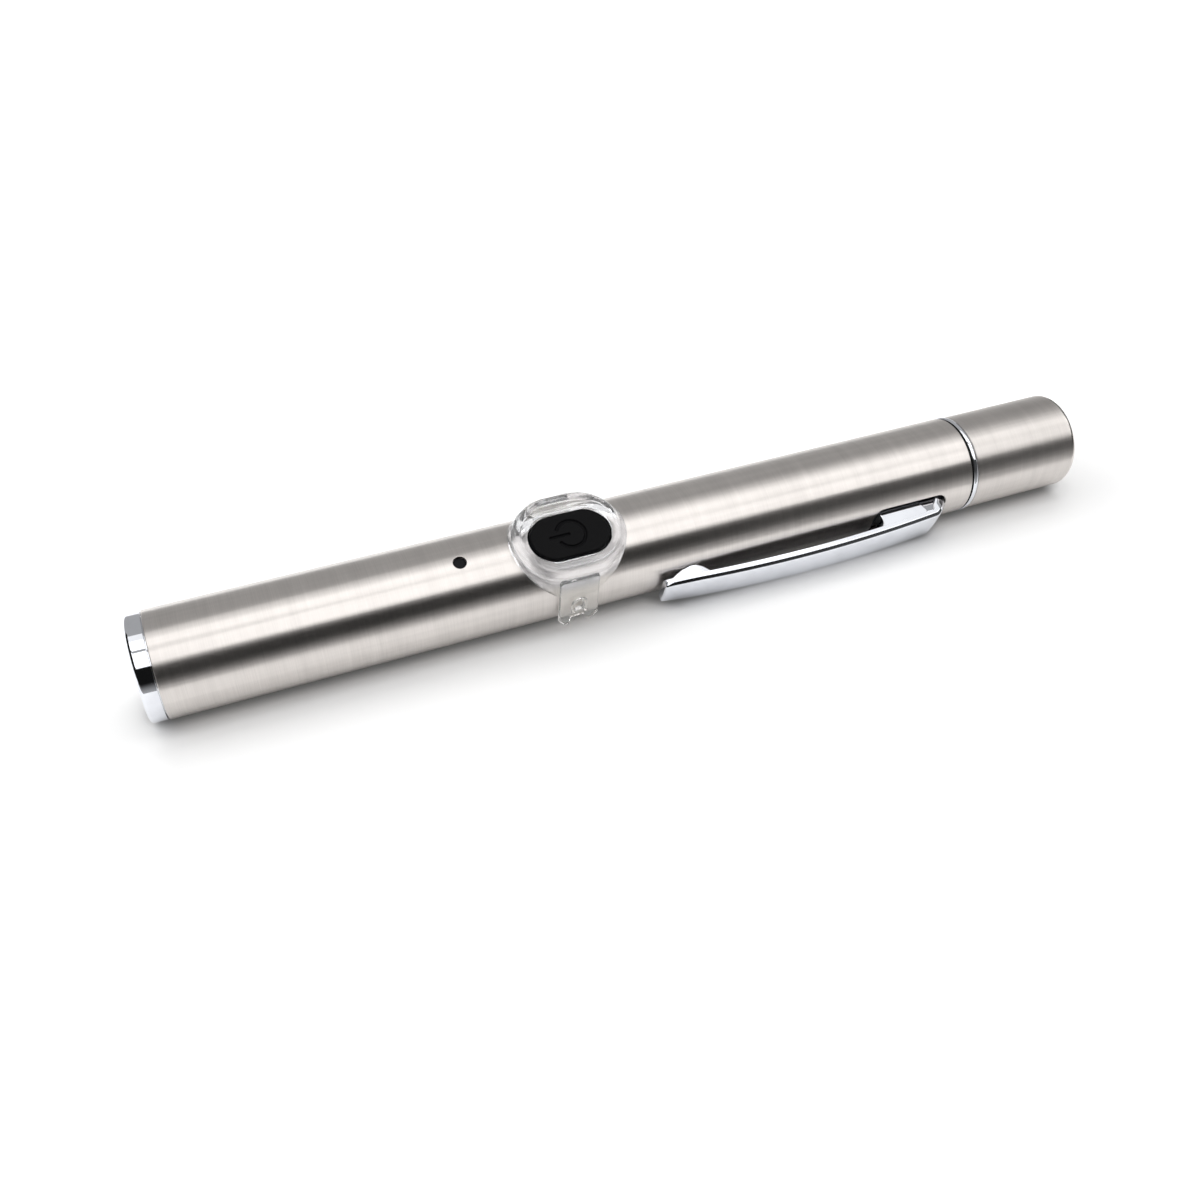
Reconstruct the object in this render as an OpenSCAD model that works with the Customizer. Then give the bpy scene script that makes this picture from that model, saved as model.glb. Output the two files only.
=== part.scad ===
// Rechargeable penlight, lying on its pocket clip.
// The pen is drawn with +X from the lamp end to the cap, +Z out of the push button and the
// pocket clip towards -Y, with x = 0 where the lamp ring meets the barrel. It is then rolled
// about its own axis until the barrel and the clip both touch the surface it lies on.

/* [Barrel] */
// Outside diameter of the barrel tube
barrel_d = 14; // [13.9:0.1:14.6]
// Wall thickness of the barrel tube
barrel_wall = 0.5; // [0.3:0.05:0.6]
// Length of the barrel tube
barrel_len = 114.7; // [112:0.1:122]

/* [Lamp end] */
// Step of the lamp ring's side in from the barrel's side
head_step = 0.05; // [0:0.01:0.3]
// Length of the lamp ring in front of the barrel
head_len = 2.2; // [1.8:0.1:3]
// Radius of the lamp ring's front edge
head_edge_r = 0.5; // [0.2:0.1:0.8]
// Thickness of the lip that holds the lens
head_lip = 0.8; // [0.5:0.1:1.2]
// Length of the lamp ring's spigot inside the barrel
spigot_len = 4; // [3:0.1:5]
// Distance from the lens's rim to the barrel's bore
lens_margin = 0.8; // [0.6:0.1:1]
// Overlap of the lamp ring's lip over the lens
lens_lip = 0.6; // [0.4:0.1:1.2]
// Thickness of the lens at its rim
lens_rim = 0.8; // [0.5:0.1:1]
// Height of the lens's domed front over its rim
lens_dome = 0.6; // [0.2:0.1:0.7]
// Thickness of the gasket behind the lens
gasket_t = 0.4; // [0.2:0.1:0.6]
// Depth of the reflector cup
reflector_len = 6.8; // [6:0.1:9]
// Wall thickness of the reflector cup
reflector_wall = 0.4; // [0.3:0.05:0.6]
// Side of the square light-emitting package
led_side = 2.8; // [2:0.1:3.2]
// Thickness of the light-emitting package
led_t = 0.7; // [0.4:0.1:1]
// Radius of the clear dome on the package
led_dome_r = 1.2; // [0.8:0.1:1.3]
// Thickness of the round lamp board
led_board_t = 1.2; // [0.8:0.1:1.6]
// Thickness of the lamp holder's web
web_t = 1.2; // [0.8:0.1:2]
// Length of the lamp holder's skirt behind its web
holder_skirt = 3; // [2:0.1:4]
// Radial wall of the lamp holder's skirt
holder_wall = 1.1; // [0.7:0.1:1.5]

/* [Button and switch] */
// Share of the barrel's length in front of the button's centre
button_share = 0.469; // [0.44:0.001:0.49]
// Length of the oval button
button_len = 11; // [9:0.1:11.4]
// Width of the oval button
button_w = 6.8; // [5.4:0.1:7]
// Height of the button over the barrel
button_proud = 0.45; // [0.2:0.05:0.8]
// Rounding of the button's top edge
button_edge = 0.4; // [0.2:0.05:0.6]
// Gap between the button and the barrel's hole
button_gap = 0.25; // [0.15:0.05:0.35]
// Width of the button's hidden flange beyond the hole
flange_reach = 0.75; // [0.5:0.05:0.9]
// Thickness of the button's hidden flange
flange_t = 0.68; // [0.5:0.02:0.7]
// Travel of the button
button_travel = 0.35; // [0.2:0.05:0.4]
// Radius of the sunk ring on the button, to the middle of its line
symbol_r = 1.95; // [1.5:0.05:2.3]
// Width of the sunk line on the button
symbol_line = 0.3; // [0.2:0.05:0.4]
// Depth of the sunk line on the button
symbol_depth = 0.15; // [0.1:0.05:0.25]
// Angle of the opening in the sunk ring
symbol_open = 60; // [40:1:90]
// Length of the sunk bar in the ring's opening
symbol_bar = 2.5; // [1.5:0.1:2.8]
// Distance of the ring's centre behind the button's centre
symbol_shift = 0.1; // [0:0.05:0.4]
// Length of the switch body
switch_len = 6; // [4:0.1:7]
// Width of the switch body
switch_w = 3.6; // [3:0.1:4.5]
// Height of the switch body
switch_h = 1.5; // [1.2:0.1:1.6]
// Radius of the switch plunger
plunger_r = 0.9; // [0.7:0.05:1.2]
// Height of the switch plunger over its body
plunger_h = 0.5; // [0.4:0.05:0.6]

/* [Button guard] */
// Length of the clear guard over its rim
guard_len = 15.2; // [15:0.1:17]
// Inset of the guard's rim from the barrel's widest line, on each side
guard_side = 0.9; // [0.6:0.05:1]
// Shift of the guard's centre from the button's centre
guard_shift = -0.3; // [-0.4:0.1:0.4]
// Height of the guard's rim over the barrel
guard_h = 1.1; // [0.8:0.1:1.6]
// Radius of the guard's rounded rim
rim_r = 0.72; // [0.5:0.02:0.8]
// Reach of the guard's saddle flange past the rim
saddle_reach = 0.45; // [0.2:0.05:0.6]
// Thickness of the guard's saddle flange over the barrel
saddle_t = 0.6; // [0.4:0.05:0.8]
// Height of the guard's inner lip over the barrel
lip_h = 0.2; // [0.1:0.05:0.4]
// Gap between the button and the guard's opening
lip_gap = 0.2; // [0.15:0.05:0.4]
// Gap between the guard's saddle and the barrel
saddle_gap = 0.05; // [0.02:0.01:0.1]
// Width of each side tab of the guard
tab_w = 5.5; // [4.5:0.1:6.5]
// Thickness of each side tab
tab_t = 0.65; // [0.5:0.05:0.8]
// Gap between a side tab and the barrel where they pass closest
tab_gap = 0.1; // [0.05:0.05:0.3]
// Lean of each side tab out from the barrel
tab_lean = 13; // [8:1:16]
// Height of a side tab's lowest point below the barrel's axis
tab_drop = 1.8; // [1:0.1:3]
// Width of the arched window in a side tab
window_w = 2; // [1.4:0.1:2.6]
// Height of a side tab's bar under its window
window_bar = 1.4; // [1:0.1:1.8]
// Depth of the window's top below the barrel's top
window_drop = 4.1; // [3.6:0.1:5]
// Depth of the notch between a side tab's two feet
notch_depth = 1.1; // [0.6:0.1:1.2]

/* [Indicator] */
// Distance from the indicator hole to the button's centre
indicator_lead = 15; // [13:0.1:17]
// Diameter of the indicator hole
indicator_d = 1.75; // [1.4:0.05:2.2]
// Depth of the light pipe's end below the barrel's surface
pipe_sunk = 0.45; // [0.2:0.05:0.8]
// Gap around the light pipe
pipe_gap = 0.05; // [0.02:0.01:0.1]
// Height of the indicator's small light source
indicator_h = 0.6; // [0.4:0.1:0.8]

/* [Pocket clip] */
// Length of the pocket clip
clip_len = 45; // [42:0.1:50]
// Width of the clip across its tip
clip_tip_w = 4.6; // [4:0.1:5]
// Width of the clip across its bump
clip_bump_w = 5.3; // [5:0.1:5.6]
// Width of the clip across its root
clip_root_w = 5.9; // [5.6:0.1:6.2]
// Height of the clip's outer face over the barrel at its crest
clip_rise = 2.65; // [2.5:0.05:3.2]
// Distance of the crest from the clip's tip
clip_crest = 22; // [18:0.5:26]
// Radius of the clip's lengthwise bow
clip_bow_r = 265; // [240:5:400]
// Radius of the clip's long outer edges
clip_edge_r = 0.35; // [0.25:0.05:0.45]
// Thickness of the clip's strip
clip_strip_t = 0.9; // [0.7:0.05:1]
// Inset of the clip's bump and root from the strip's sides
clip_inset = 0.08; // [0.05:0.01:0.15]
// Fall of the clip's end from its outer face to the barrel, along the pen
clip_nose = 2.8; // [2:0.1:3.5]
// Radius of the rounded bump at the clip's tip
bump_r = 1.6; // [1.2:0.1:1.8]
// Distance of the bump's middle from the clip's tip
bump_x = 4.5; // [4:0.1:5.5]
// Gap between the clip's bump and the barrel at rest
clip_rest_gap = 0.06; // [0.02:0.01:0.1]
// Distance of the slot's end from the barrel's rear end
slot_end_gap = 4.4; // [4.2:0.1:5.5]
// Length of the slot in the barrel
slot_len = 12.2; // [11.8:0.1:13]
// Distance from the slot's front end to the clip's root
slot_lead = 1; // [0.9:0.1:1.3]
// Gap between the clip's root and each side of the slot
slot_gap = 0.35; // [0.2:0.05:0.45]
// Corner radius of the slot
slot_r = 1.6; // [1:0.1:2]
// Radius of the clip's round heel inside the barrel
heel_r = 0.85; // [0.7:0.05:0.95]
// Half width of the clip's round heel
heel_half = 1.9; // [1.4:0.1:2.1]
// Gap between the heel and its seat
heel_gap = 0.05; // [0.02:0.01:0.08]

/* [Inside] */
// Gap between fixed pieces that nest in each other
seat_gap = 0.05; // [0.02:0.01:0.1]
// Gap between the inner tray and the barrel
tray_gap = 0.1; // [0.05:0.01:0.2]
// Thickness of the tray's cross walls
tray_wall = 1; // [0.8:0.1:1.4]
// Depth of the control board's underside below the barrel's top
board_drop = 5; // [4.9:0.1:5.2]
// Thickness of the control board
board_t = 1; // [0.8:0.1:1.1]
// Gap between the control board's upper edges and the barrel's bore
board_side = 0.37; // [0.2:0.01:0.6]
// Distance from the board's front edge to the indicator
board_lead = 8.8; // [8:0.1:10]
// Length of the control board behind the button's centre
board_tail = 13.1; // [12.5:0.1:16]
// Distance from the battery cell to the barrel's bore
cell_room = 1.55; // [1.5:0.05:1.8]
// Height of the battery cell's nub
nub_h = 0.6; // [0.4:0.1:1]
// Diameter of the battery cell's nub
nub_d = 4; // [3:0.1:5]
// Thickness of the battery's sleeve
wrap_t = 0.12; // [0.1:0.01:0.15]
// Thickness of the nickel strips
tab_strip_t = 0.15; // [0.1:0.01:0.2]
// Width of the nickel strips
tab_strip_w = 4; // [3:0.1:5]
// Diameter of the wires over their jackets
wire_d = 0.8; // [0.6:0.05:0.9]
// Distance of each lamp wire from the middle plane
lamp_wire_y = 2.2; // [1.8:0.1:2.6]
// Depth of the lamp wires below the barrel's bore
lamp_wire_drop = 3.1; // [2.7:0.1:3.2]
// Distance of each battery wire from the middle plane
cell_wire_y = 1.6; // [1.2:0.1:1.8]

/* [Plug and cap] */
// Depth of the plug holder inside the barrel
plug_holder_len = 1.8; // [1.5:0.1:2.2]
// Width of the collar ring at the seam
collar_w = 0.9; // [0.7:0.1:1.2]
// Height of the collar ring over the barrel
collar_proud = 0.05; // [0:0.01:0.2]
// Distance from the plug's narrow sides to the barrel's bore, 12 mm being a plug's full width
plug_side = 0.5; // [0.5:0.01:0.55]
// Thickness of the plug's metal shell
plug_h = 4.5; // [4.4:0.05:4.6]
// Wall of the plug's metal shell
plug_wall = 0.3; // [0.25:0.05:0.35]
// Corner radius of the plug's metal shell
plug_r = 0.5; // [0.4:0.05:0.6]
// Length of the plug in front of the collar ring
plug_reach = 12; // [11.75:0.05:12.5]
// Length of the plug's shell behind its holder
plug_tail = 1.7; // [1:0.1:2]
// Thickness of the plug's inner tongue
tongue_t = 1.85; // [1.7:0.05:1.9]
// Distance of the tongue's tip behind the shell's mouth
tongue_back = 0.4; // [0.2:0.1:0.8]
// Width of each plug contact
contact_w = 1; // [0.8:0.1:1.2]
// Thickness of each plug contact
contact_t = 0.15; // [0.1:0.01:0.2]
// Distance of the contacts' rear ends behind the plug's tip
contact_back = 8.6; // [8:0.1:9]
// Distance of the outer contacts' front ends behind the plug's tip
contact_front = 1.2; // [0.8:0.1:1.6]
// Step of the inner contacts' front ends behind the outer ones'
contact_step = 1; // [0.5:0.1:1.5]
// Distance of each outer contact from the middle plane
contact_outer = 3.5; // [3.4:0.1:3.6]
// Distance of each inner contact from the middle plane
contact_inner = 1; // [0.9:0.1:1.1]
// Side of the square latch windows in the plug's shell
latch_side = 2.2; // [1.8:0.1:2.5]
// Distance of the latch windows' middles behind the plug's tip
latch_back = 5.6; // [5:0.1:6]
// Distance of each latch window from the middle plane
latch_off = 3; // [2.5:0.1:3.2]
// Length of the charging board
charge_len = 10.6; // [8:0.1:11]
// Distance from the charging board's edges to the barrel's bore
charge_side = 2.3; // [2:0.1:3]
// Thickness of the charging board
charge_t = 0.8; // [0.6:0.1:1]
// Step of the cap's side in from the barrel's side
cap_step = 0.1; // [0.05:0.01:0.2]
// Wall thickness of the cap
cap_wall = 0.4; // [0.3:0.05:0.4]
// Length of the cap
cap_len = 17.35; // [16.5:0.05:20]
// Radius of the cap's end edge
cap_edge_r = 1; // [0.6:0.1:1.5]
// Gap between the plug's shell and the cap's liner
liner_gap = 0.1; // [0.05:0.01:0.15]
// Free space past the plug's tip inside the liner
liner_space = 1.5; // [1:0.1:2.5]

/* [Hidden] */
$fn = 96;

// Radii that many pieces share
barrel_r = barrel_d / 2;
bore_r = barrel_r - barrel_wall;
head_r = barrel_r - head_step;
spigot_r = bore_r - seat_gap;
lens_r = bore_r - lens_margin;
aperture_r = lens_r - lens_lip;
lens_seat_r = lens_r + seat_gap;
led_board_r = bore_r - 0.3;
tray_r = bore_r - tray_gap;
cell_r = bore_r - cell_room;
wrap_r = cell_r + wrap_t;
cap_r = barrel_r - cap_step;
cap_bore_r = cap_r - cap_wall;
collar_r = barrel_r + collar_proud;
wire_r = wire_d / 2;

// Widths that follow the barrel
guard_w = barrel_d - 2 * guard_side;
plug_w = 2 * (bore_r - plug_side);
charge_w = 2 * (bore_r - charge_side);

// Stations along the pen, from the lamp end
head_x = -head_len;
lens_x = head_x + head_lip;
gasket_x = lens_x + lens_rim;
reflector_x = gasket_x + gasket_t;
led_board_x = reflector_x + reflector_len;
web_x = led_board_x + led_board_t;
tray_x = web_x + web_t + holder_skirt;
button_x = barrel_len * button_share;
indicator_x = button_x - indicator_lead;
board_x = indicator_x - board_lead;
board_end_x = button_x + board_tail;
mid_wall_x = board_end_x + 0.2;
cell_x = mid_wall_x + tray_wall + tab_strip_t;

// Stations along the pen, from the cap end
seam_x = barrel_len + collar_w;
plug_holder_x = barrel_len - plug_holder_len;
plug_tip_x = seam_x + plug_reach;
plug_tail_x = plug_holder_x - plug_tail;
charge_x = plug_tail_x - charge_len;
cap_end_x = seam_x + cap_len;
slot_end_x = barrel_len - slot_end_gap;
slot_x = slot_end_x - slot_len;
anchor_x = slot_x - 0.4;
tray_end_x = anchor_x - 0.3;
cell_end_x = tray_end_x - tray_wall - tab_strip_t;
cell_len = cell_end_x - cell_x;

// Heights over the pen's axis, towards the button
board_z = barrel_r - board_drop;
board_top = board_z + board_t;
board_w = 2 * (sqrt(pow(bore_r, 2) - pow(board_top, 2)) - board_side);
lamp_wire_z = bore_r - lamp_wire_drop;
window_top = barrel_r - window_drop;
switch_top = board_top + switch_h;
plunger_top = switch_top + plunger_h;
button_top = barrel_r + button_proud;
button_core_z = plunger_top + 0.4;
press_gap = 0.02;
light_pipe_z = board_top + indicator_h;
guard_top = barrel_r + guard_h;
lip_z = barrel_r + lip_h;
flange_r = bore_r - 0.07;
guard_x = button_x + guard_shift;

// The pocket clip: its tip, its outline seen from the side, and the heel that it turns on
clip_nose_x = slot_end_x - 0.2;
clip_tip_x = clip_nose_x - clip_len;
heel_x = slot_end_x + 0.3;
heel_y = -(bore_r - heel_r - 0.4);
root_s = slot_x + slot_lead - clip_tip_x;
nose_s = clip_len;
fall_s = nose_s - clip_nose;
foot_in = 1;
slot_half = clip_root_w / 2 + slot_gap;
function clip_half(s) = lookup(s, [[0, clip_tip_w / 2], [bump_x, clip_bump_w / 2],
    [nose_s, clip_root_w / 2]]);
function clip_height(s) = clip_rise - pow(s - clip_crest, 2) / (2 * clip_bow_r);
clip_steps = 10;
clip_stations = [for (i = [0 : clip_steps])
    clip_edge_r + (fall_s - clip_edge_r) * i / clip_steps];

// Roll at which the barrel and the clip's lower long edge touch one flat surface
function roll_at(s) = let (
    out = barrel_r + clip_height(s) - clip_edge_r, side = clip_half(s) - clip_edge_r)
    asin((barrel_r - clip_edge_r) / norm([out, side])) - atan2(side, out);
lie_roll = min([for (s = clip_stations) roll_at(s)]);
echo(lie_roll = lie_roll, heel_x = heel_x, heel_y = heel_y, cap_end_x = cap_end_x,
    clip_tip_x = clip_tip_x, plug_tip_x = plug_tip_x, guard_x = guard_x);
echo(button_x = button_x, indicator_x = indicator_x, slot_end_x = slot_end_x, seam_x = seam_x);

// Turns a piece from the upright pen to the pen as it lies
module as_it_lies() {
    rotate([lie_roll, 0, 0]) children();
}

// A round bar along the pen
module rod(x0, x1, r) {
    translate([x0, 0, 0]) rotate([0, 90, 0]) cylinder(h = x1 - x0, r = r);
}

// A round sleeve along the pen
module sleeve(x0, x1, r_out, r_in) {
    difference() {
        rod(x0, x1, r_out);
        rod(x0 - 1, x1 + 1, r_in);
    }
}

// A turned shape: points are [station along the pen, radius]
module turned(points) {
    rotate([0, 90, 0]) rotate_extrude() polygon([for (p = points) [p[1], p[0]]]);
}

// A block between two corners
module block(low, high) {
    translate(low) cube(high - low);
}

// Points of an arc about a centre
function arc(c, r, from, to, steps) =
    [for (i = [0 : steps]) let (a = from + (to - from) * i / steps)
        [c[0] + r * cos(a), c[1] + r * sin(a)]];

// A flat oval with two straight sides and two round ends
module stadium(len, wid) {
    square([len - wid, wid], center = true);
    for (side = [-1, 1]) translate([side * (len - wid) / 2, 0]) circle(d = wid);
}

// A flat rectangle with round corners
module round_rect(len, wid, r) {
    square([len - 2 * r, wid], center = true);
    square([len, wid - 2 * r], center = true);
    for (i = [-1, 1], j = [-1, 1])
        translate([i * (len / 2 - r), j * (wid / 2 - r)]) circle(r = r);
}

// An upright oval prism between two heights over the axis
module oval_prism(x, len, wid, z0, z1) {
    translate([x, 0, z0]) linear_extrude(z1 - z0) stadium(len, wid);
}

// The plug's cross-section, drawn across the pen and pushed along it
module plug_prism(x0, x1, wid, thick, r) {
    translate([x0, 0, 0]) rotate([0, 90, 0]) linear_extrude(x1 - x0)
        round_rect(wid, thick, r);
}

// A round wire swept along chosen points, eight-sided
wire_sides = 8;
function unit(v) = v / norm(v);
function tangent(p, i) = unit(p[min(i + 1, len(p) - 1)] - p[max(i - 1, 0)]);
module wire(p, r) {
    rings = [for (i = [0 : len(p) - 1])
        let (t = tangent(p, i), n = unit(cross(t, [0, 0, 1])), b = cross(n, t))
        for (k = [0 : wire_sides - 1])
            p[i] + r * (cos(k * 360 / wire_sides) * n + sin(k * 360 / wire_sides) * b)];
    last = (len(p) - 1) * wire_sides;
    polyhedron(points = rings, faces = concat(
        [[for (k = [0 : wire_sides - 1]) k]],
        [[for (k = [wire_sides - 1 : -1 : 0]) last + k]],
        [for (i = [0 : len(p) - 2], k = [0 : wire_sides - 1])
            let (a = i * wire_sides + k, b = i * wire_sides + (k + 1) % wire_sides)
            [a, a + wire_sides, b]],
        [for (i = [0 : len(p) - 2], k = [0 : wire_sides - 1])
            let (a = i * wire_sides + k, b = i * wire_sides + (k + 1) % wire_sides)
            [b, a + wire_sides, b + wire_sides]]));
}

// Barrel and lamp end
module barrel_tube() {
    as_it_lies() color("#b9b5b0") difference() {
        sleeve(0, barrel_len, barrel_r, bore_r);
        oval_prism(button_x, button_len + 2 * button_gap, button_w + 2 * button_gap,
            0, barrel_r + 1);
        translate([indicator_x, 0, 0]) cylinder(h = barrel_r + 1, d = indicator_d);
        translate([slot_x + slot_len / 2, 0, 0]) rotate([90, 0, 0])
            linear_extrude(barrel_r + 1) round_rect(slot_len, 2 * slot_half, slot_r);
    }
}

module head_ring() {
    as_it_lies() color("#e3e5e8") difference() {
        turned(concat([[spigot_len, lens_seat_r], [lens_x, lens_seat_r],
            [lens_x, aperture_r], [head_x, aperture_r]],
            arc([head_x + head_edge_r, head_r - head_edge_r], head_edge_r, 180, 90, 8),
            [[0, head_r], [0, spigot_r], [spigot_len, spigot_r]]));
    }
}

module lens() {
    cap_r_open = aperture_r - seat_gap;
    ball_r = (pow(cap_r_open, 2) + pow(lens_dome, 2)) / (2 * lens_dome);
    as_it_lies() color([0.85, 0.92, 0.95, 0.5]) {
        rod(lens_x, lens_x + lens_rim, lens_r);
        intersection() {
            rod(lens_x - lens_dome - 1, lens_x + lens_rim / 2, cap_r_open);
            translate([lens_x - lens_dome + ball_r, 0, 0]) rotate([0, 90, 0])
                sphere(r = ball_r);
        }
    }
}

module lens_gasket() {
    as_it_lies() color("#222222") sleeve(gasket_x, reflector_x, lens_r, lens_r - 0.7);
}

module reflector() {
    rear_r = led_side * sqrt(2) / 2 + 0.2;
    front_r = lens_r - 0.7;
    steps = 10;
    curve = [for (i = [0 : steps]) let (t = i / steps)
        [led_board_x - t * reflector_len, rear_r + (front_r - rear_r) * sqrt(t)]];
    outside = [for (i = [steps - 1 : -1 : 1]) [curve[i][0] + 0.1, curve[i][1] + reflector_wall]];
    as_it_lies() color("#f0f0ee") turned(concat(curve,
        [[reflector_x, lens_r], [reflector_x + 0.6, lens_r],
         [reflector_x + 0.6, front_r + reflector_wall]],
        outside, [[led_board_x, rear_r + 1]]));
}

module led_package() {
    as_it_lies() color("#e8d94a") block(
        [led_board_x - led_t, -led_side / 2, -led_side / 2],
        [led_board_x, led_side / 2, led_side / 2]);
}

module led_dome() {
    dome_x = led_board_x - led_t;
    as_it_lies() color([1, 0.96, 0.7, 0.6]) intersection() {
        translate([dome_x, 0, 0]) rotate([0, 90, 0]) sphere(r = led_dome_r);
        rod(dome_x - 2 * led_dome_r, dome_x, led_dome_r + 1);
    }
}

module led_board() {
    as_it_lies() color("#e9e9e6") rod(led_board_x, web_x, led_board_r);
}

module led_holder() {
    as_it_lies() color("#c8c8c4") difference() {
        rod(spigot_len, tray_x, spigot_r);
        rod(spigot_len - 1, web_x, led_board_r + seat_gap);
        rod(web_x + web_t, tray_x + 1, spigot_r - holder_wall);
        for (side = [-1, 1]) translate([0, side * lamp_wire_y, lamp_wire_z])
            rod(web_x - 1, web_x + web_t + 1, wire_r + 0.2);
    }
}

// Inner tray and electronics
module chassis() {
    hollow_r = wrap_r + 0.1;
    as_it_lies() color("#f2f2ee") intersection() {
        union() {
            sleeve(tray_x, tray_end_x, tray_r, hollow_r);
            for (x = [tray_x, mid_wall_x, tray_end_x - tray_wall])
                rod(x, x + tray_wall, tray_r - 0.2);
        }
        block([tray_x - 1, -barrel_r, -barrel_r], [tray_end_x + 1, barrel_r, board_z]);
    }
}

module control_board() {
    as_it_lies() color("#1f6b3a") block([board_x, -board_w / 2, board_z],
        [board_end_x, board_w / 2, board_top]);
}

// Chips on the control board: [distance from board front, across, length, width, height]
chip_places = [[4.5, 0, 5, 4, 1.4], [13.2, 0, 3, 3, 1.3], [31, 0, 4.9, 3.9, 1.5],
    [1.6, 4, 1.6, 0.8, 0.6], [5.2, 4, 1.6, 0.8, 0.6], [5.2, -4, 1.6, 0.8, 0.6],
    [13.2, 3.4, 1.6, 0.8, 0.6], [13.2, -3.4, 1.6, 0.8, 0.6]];
module board_chips() {
    as_it_lies() color("#26282b") for (c = chip_places)
        translate([board_x + c[0], c[1], board_top + c[4] / 2])
            cube([c[2], c[3], c[4]], center = true);
}

module indicator_led() {
    as_it_lies() color("#f4f4d8") translate([indicator_x, 0, board_top + indicator_h / 2])
        cube([1.6, 0.9, indicator_h], center = true);
}

module light_pipe() {
    pipe_r = indicator_d / 2 - pipe_gap;
    as_it_lies() color([0.25, 0.27, 0.3, 0.8]) translate([indicator_x, 0, light_pipe_z]) {
        cylinder(h = barrel_r - pipe_sunk - light_pipe_z, r = pipe_r);
        cylinder(h = 0.7, r = pipe_r + 0.5);
    }
}

module switch_body() {
    as_it_lies() color("#303338") difference() {
        translate([button_x, 0, board_top + switch_h / 2])
            cube([switch_len, switch_w, switch_h], center = true);
        translate([button_x, 0, board_top + 0.4]) cylinder(h = switch_h, r = plunger_r + 0.05);
    }
}

module switch_plunger() {
    stem = switch_h - 0.4 - button_travel - 0.15;
    as_it_lies() color("#8a2b2b") translate([button_x, 0, switch_top - stem])
        cylinder(h = stem + plunger_h, r = plunger_r);
}

// Button and guard
module power_symbol() {
    translate([button_x + symbol_shift, 0, button_top - symbol_depth]) {
        difference() {
            cylinder(h = 1, r = symbol_r + symbol_line / 2);
            translate([0, 0, -1]) cylinder(h = 3, r = symbol_r - symbol_line / 2);
            // The opening of the ring, a wedge towards the lamp end
            translate([0, 0, -1]) linear_extrude(3) polygon([[0, 0],
                3 * symbol_r * [-cos(symbol_open / 2), sin(symbol_open / 2)],
                3 * symbol_r * [-cos(symbol_open / 2), -sin(symbol_open / 2)]]);
        }
        translate([-symbol_bar - symbol_line, -symbol_line / 2, 0])
            cube([symbol_bar, symbol_line, 1]);
    }
}

module button_cap() {
    as_it_lies() color("#1c1c1d") difference() {
        union() {
            oval_prism(button_x, button_len, button_w, button_core_z, button_top - button_edge);
            // The rounded top edge
            hull() {
                oval_prism(button_x, button_len, button_w,
                    button_top - button_edge - 0.01, button_top - button_edge);
                oval_prism(button_x, button_len - 0.6 * button_edge, button_w - 0.6 * button_edge,
                    button_top - button_edge, button_top - 0.3 * button_edge);
                oval_prism(button_x, button_len - 2 * button_edge, button_w - 2 * button_edge,
                    button_top - button_edge, button_top);
            }
            intersection() {
                sleeve(button_x - button_len, button_x + button_len, flange_r,
                    flange_r - flange_t);
                oval_prism(button_x, button_len + 2 * button_gap + 2 * flange_reach,
                    button_w + 2 * button_gap + 2 * flange_reach, 0, barrel_r);
            }
            translate([button_x, 0, plunger_top + press_gap])
                cylinder(h = button_core_z - plunger_top, r = plunger_r + 0.6);
        }
        power_symbol();
    }
}

// The guard's rounded rim: two half rings and two straight bars
module guard_rim() {
    path_w = guard_w - 2 * rim_r;
    straight = guard_len - guard_w;
    translate([guard_x, 0, guard_top - rim_r]) {
        for (side = [-1, 1]) translate([side * straight / 2, 0, 0])
            rotate([0, 0, side > 0 ? -90 : 90])
                rotate_extrude(angle = 180) translate([path_w / 2, 0]) circle(r = rim_r, $fn = 32);
        for (side = [-1, 1]) translate([-straight / 2, side * path_w / 2, 0])
            rotate([0, 90, 0]) cylinder(h = straight, r = rim_r, $fn = 32);
    }
}

// One side tab, drawn on the clip side: it leans out as it goes down and passes the barrel at
// tab_gap; its outline is cut in the plane of the tab, with s down the tab from its closest point
module side_tab() {
    near = barrel_r + tab_gap;
    top_s = 0.8 * barrel_r;
    foot_s = (tab_drop + near * sin(tab_lean)) / cos(tab_lean);
    window_s = (window_top - near * sin(tab_lean)) / cos(tab_lean);
    half = tab_w / 2;
    win = window_w / 2;
    rotate([-tab_lean, 0, 0]) translate([guard_x - 0.4, -near, 0]) rotate([90, 0, 0])
        linear_extrude(tab_t) difference() {
            polygon([[-half, top_s], [half, top_s], [half, 1 - foot_s], [half - 0.9, -foot_s],
                [win + 0.2, -foot_s], [win - 0.3, notch_depth - foot_s],
                [-win, notch_depth - foot_s], [-win - 0.3, -foot_s - 0.2],
                [0.8 - half, -foot_s - 0.2], [-half, 0.7 - foot_s]]);
            polygon(concat([[-win, notch_depth + window_bar - foot_s],
                [win, notch_depth + window_bar - foot_s]],
                arc([0, window_s - win], win, 0, 180, 10)));
        }
}

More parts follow.
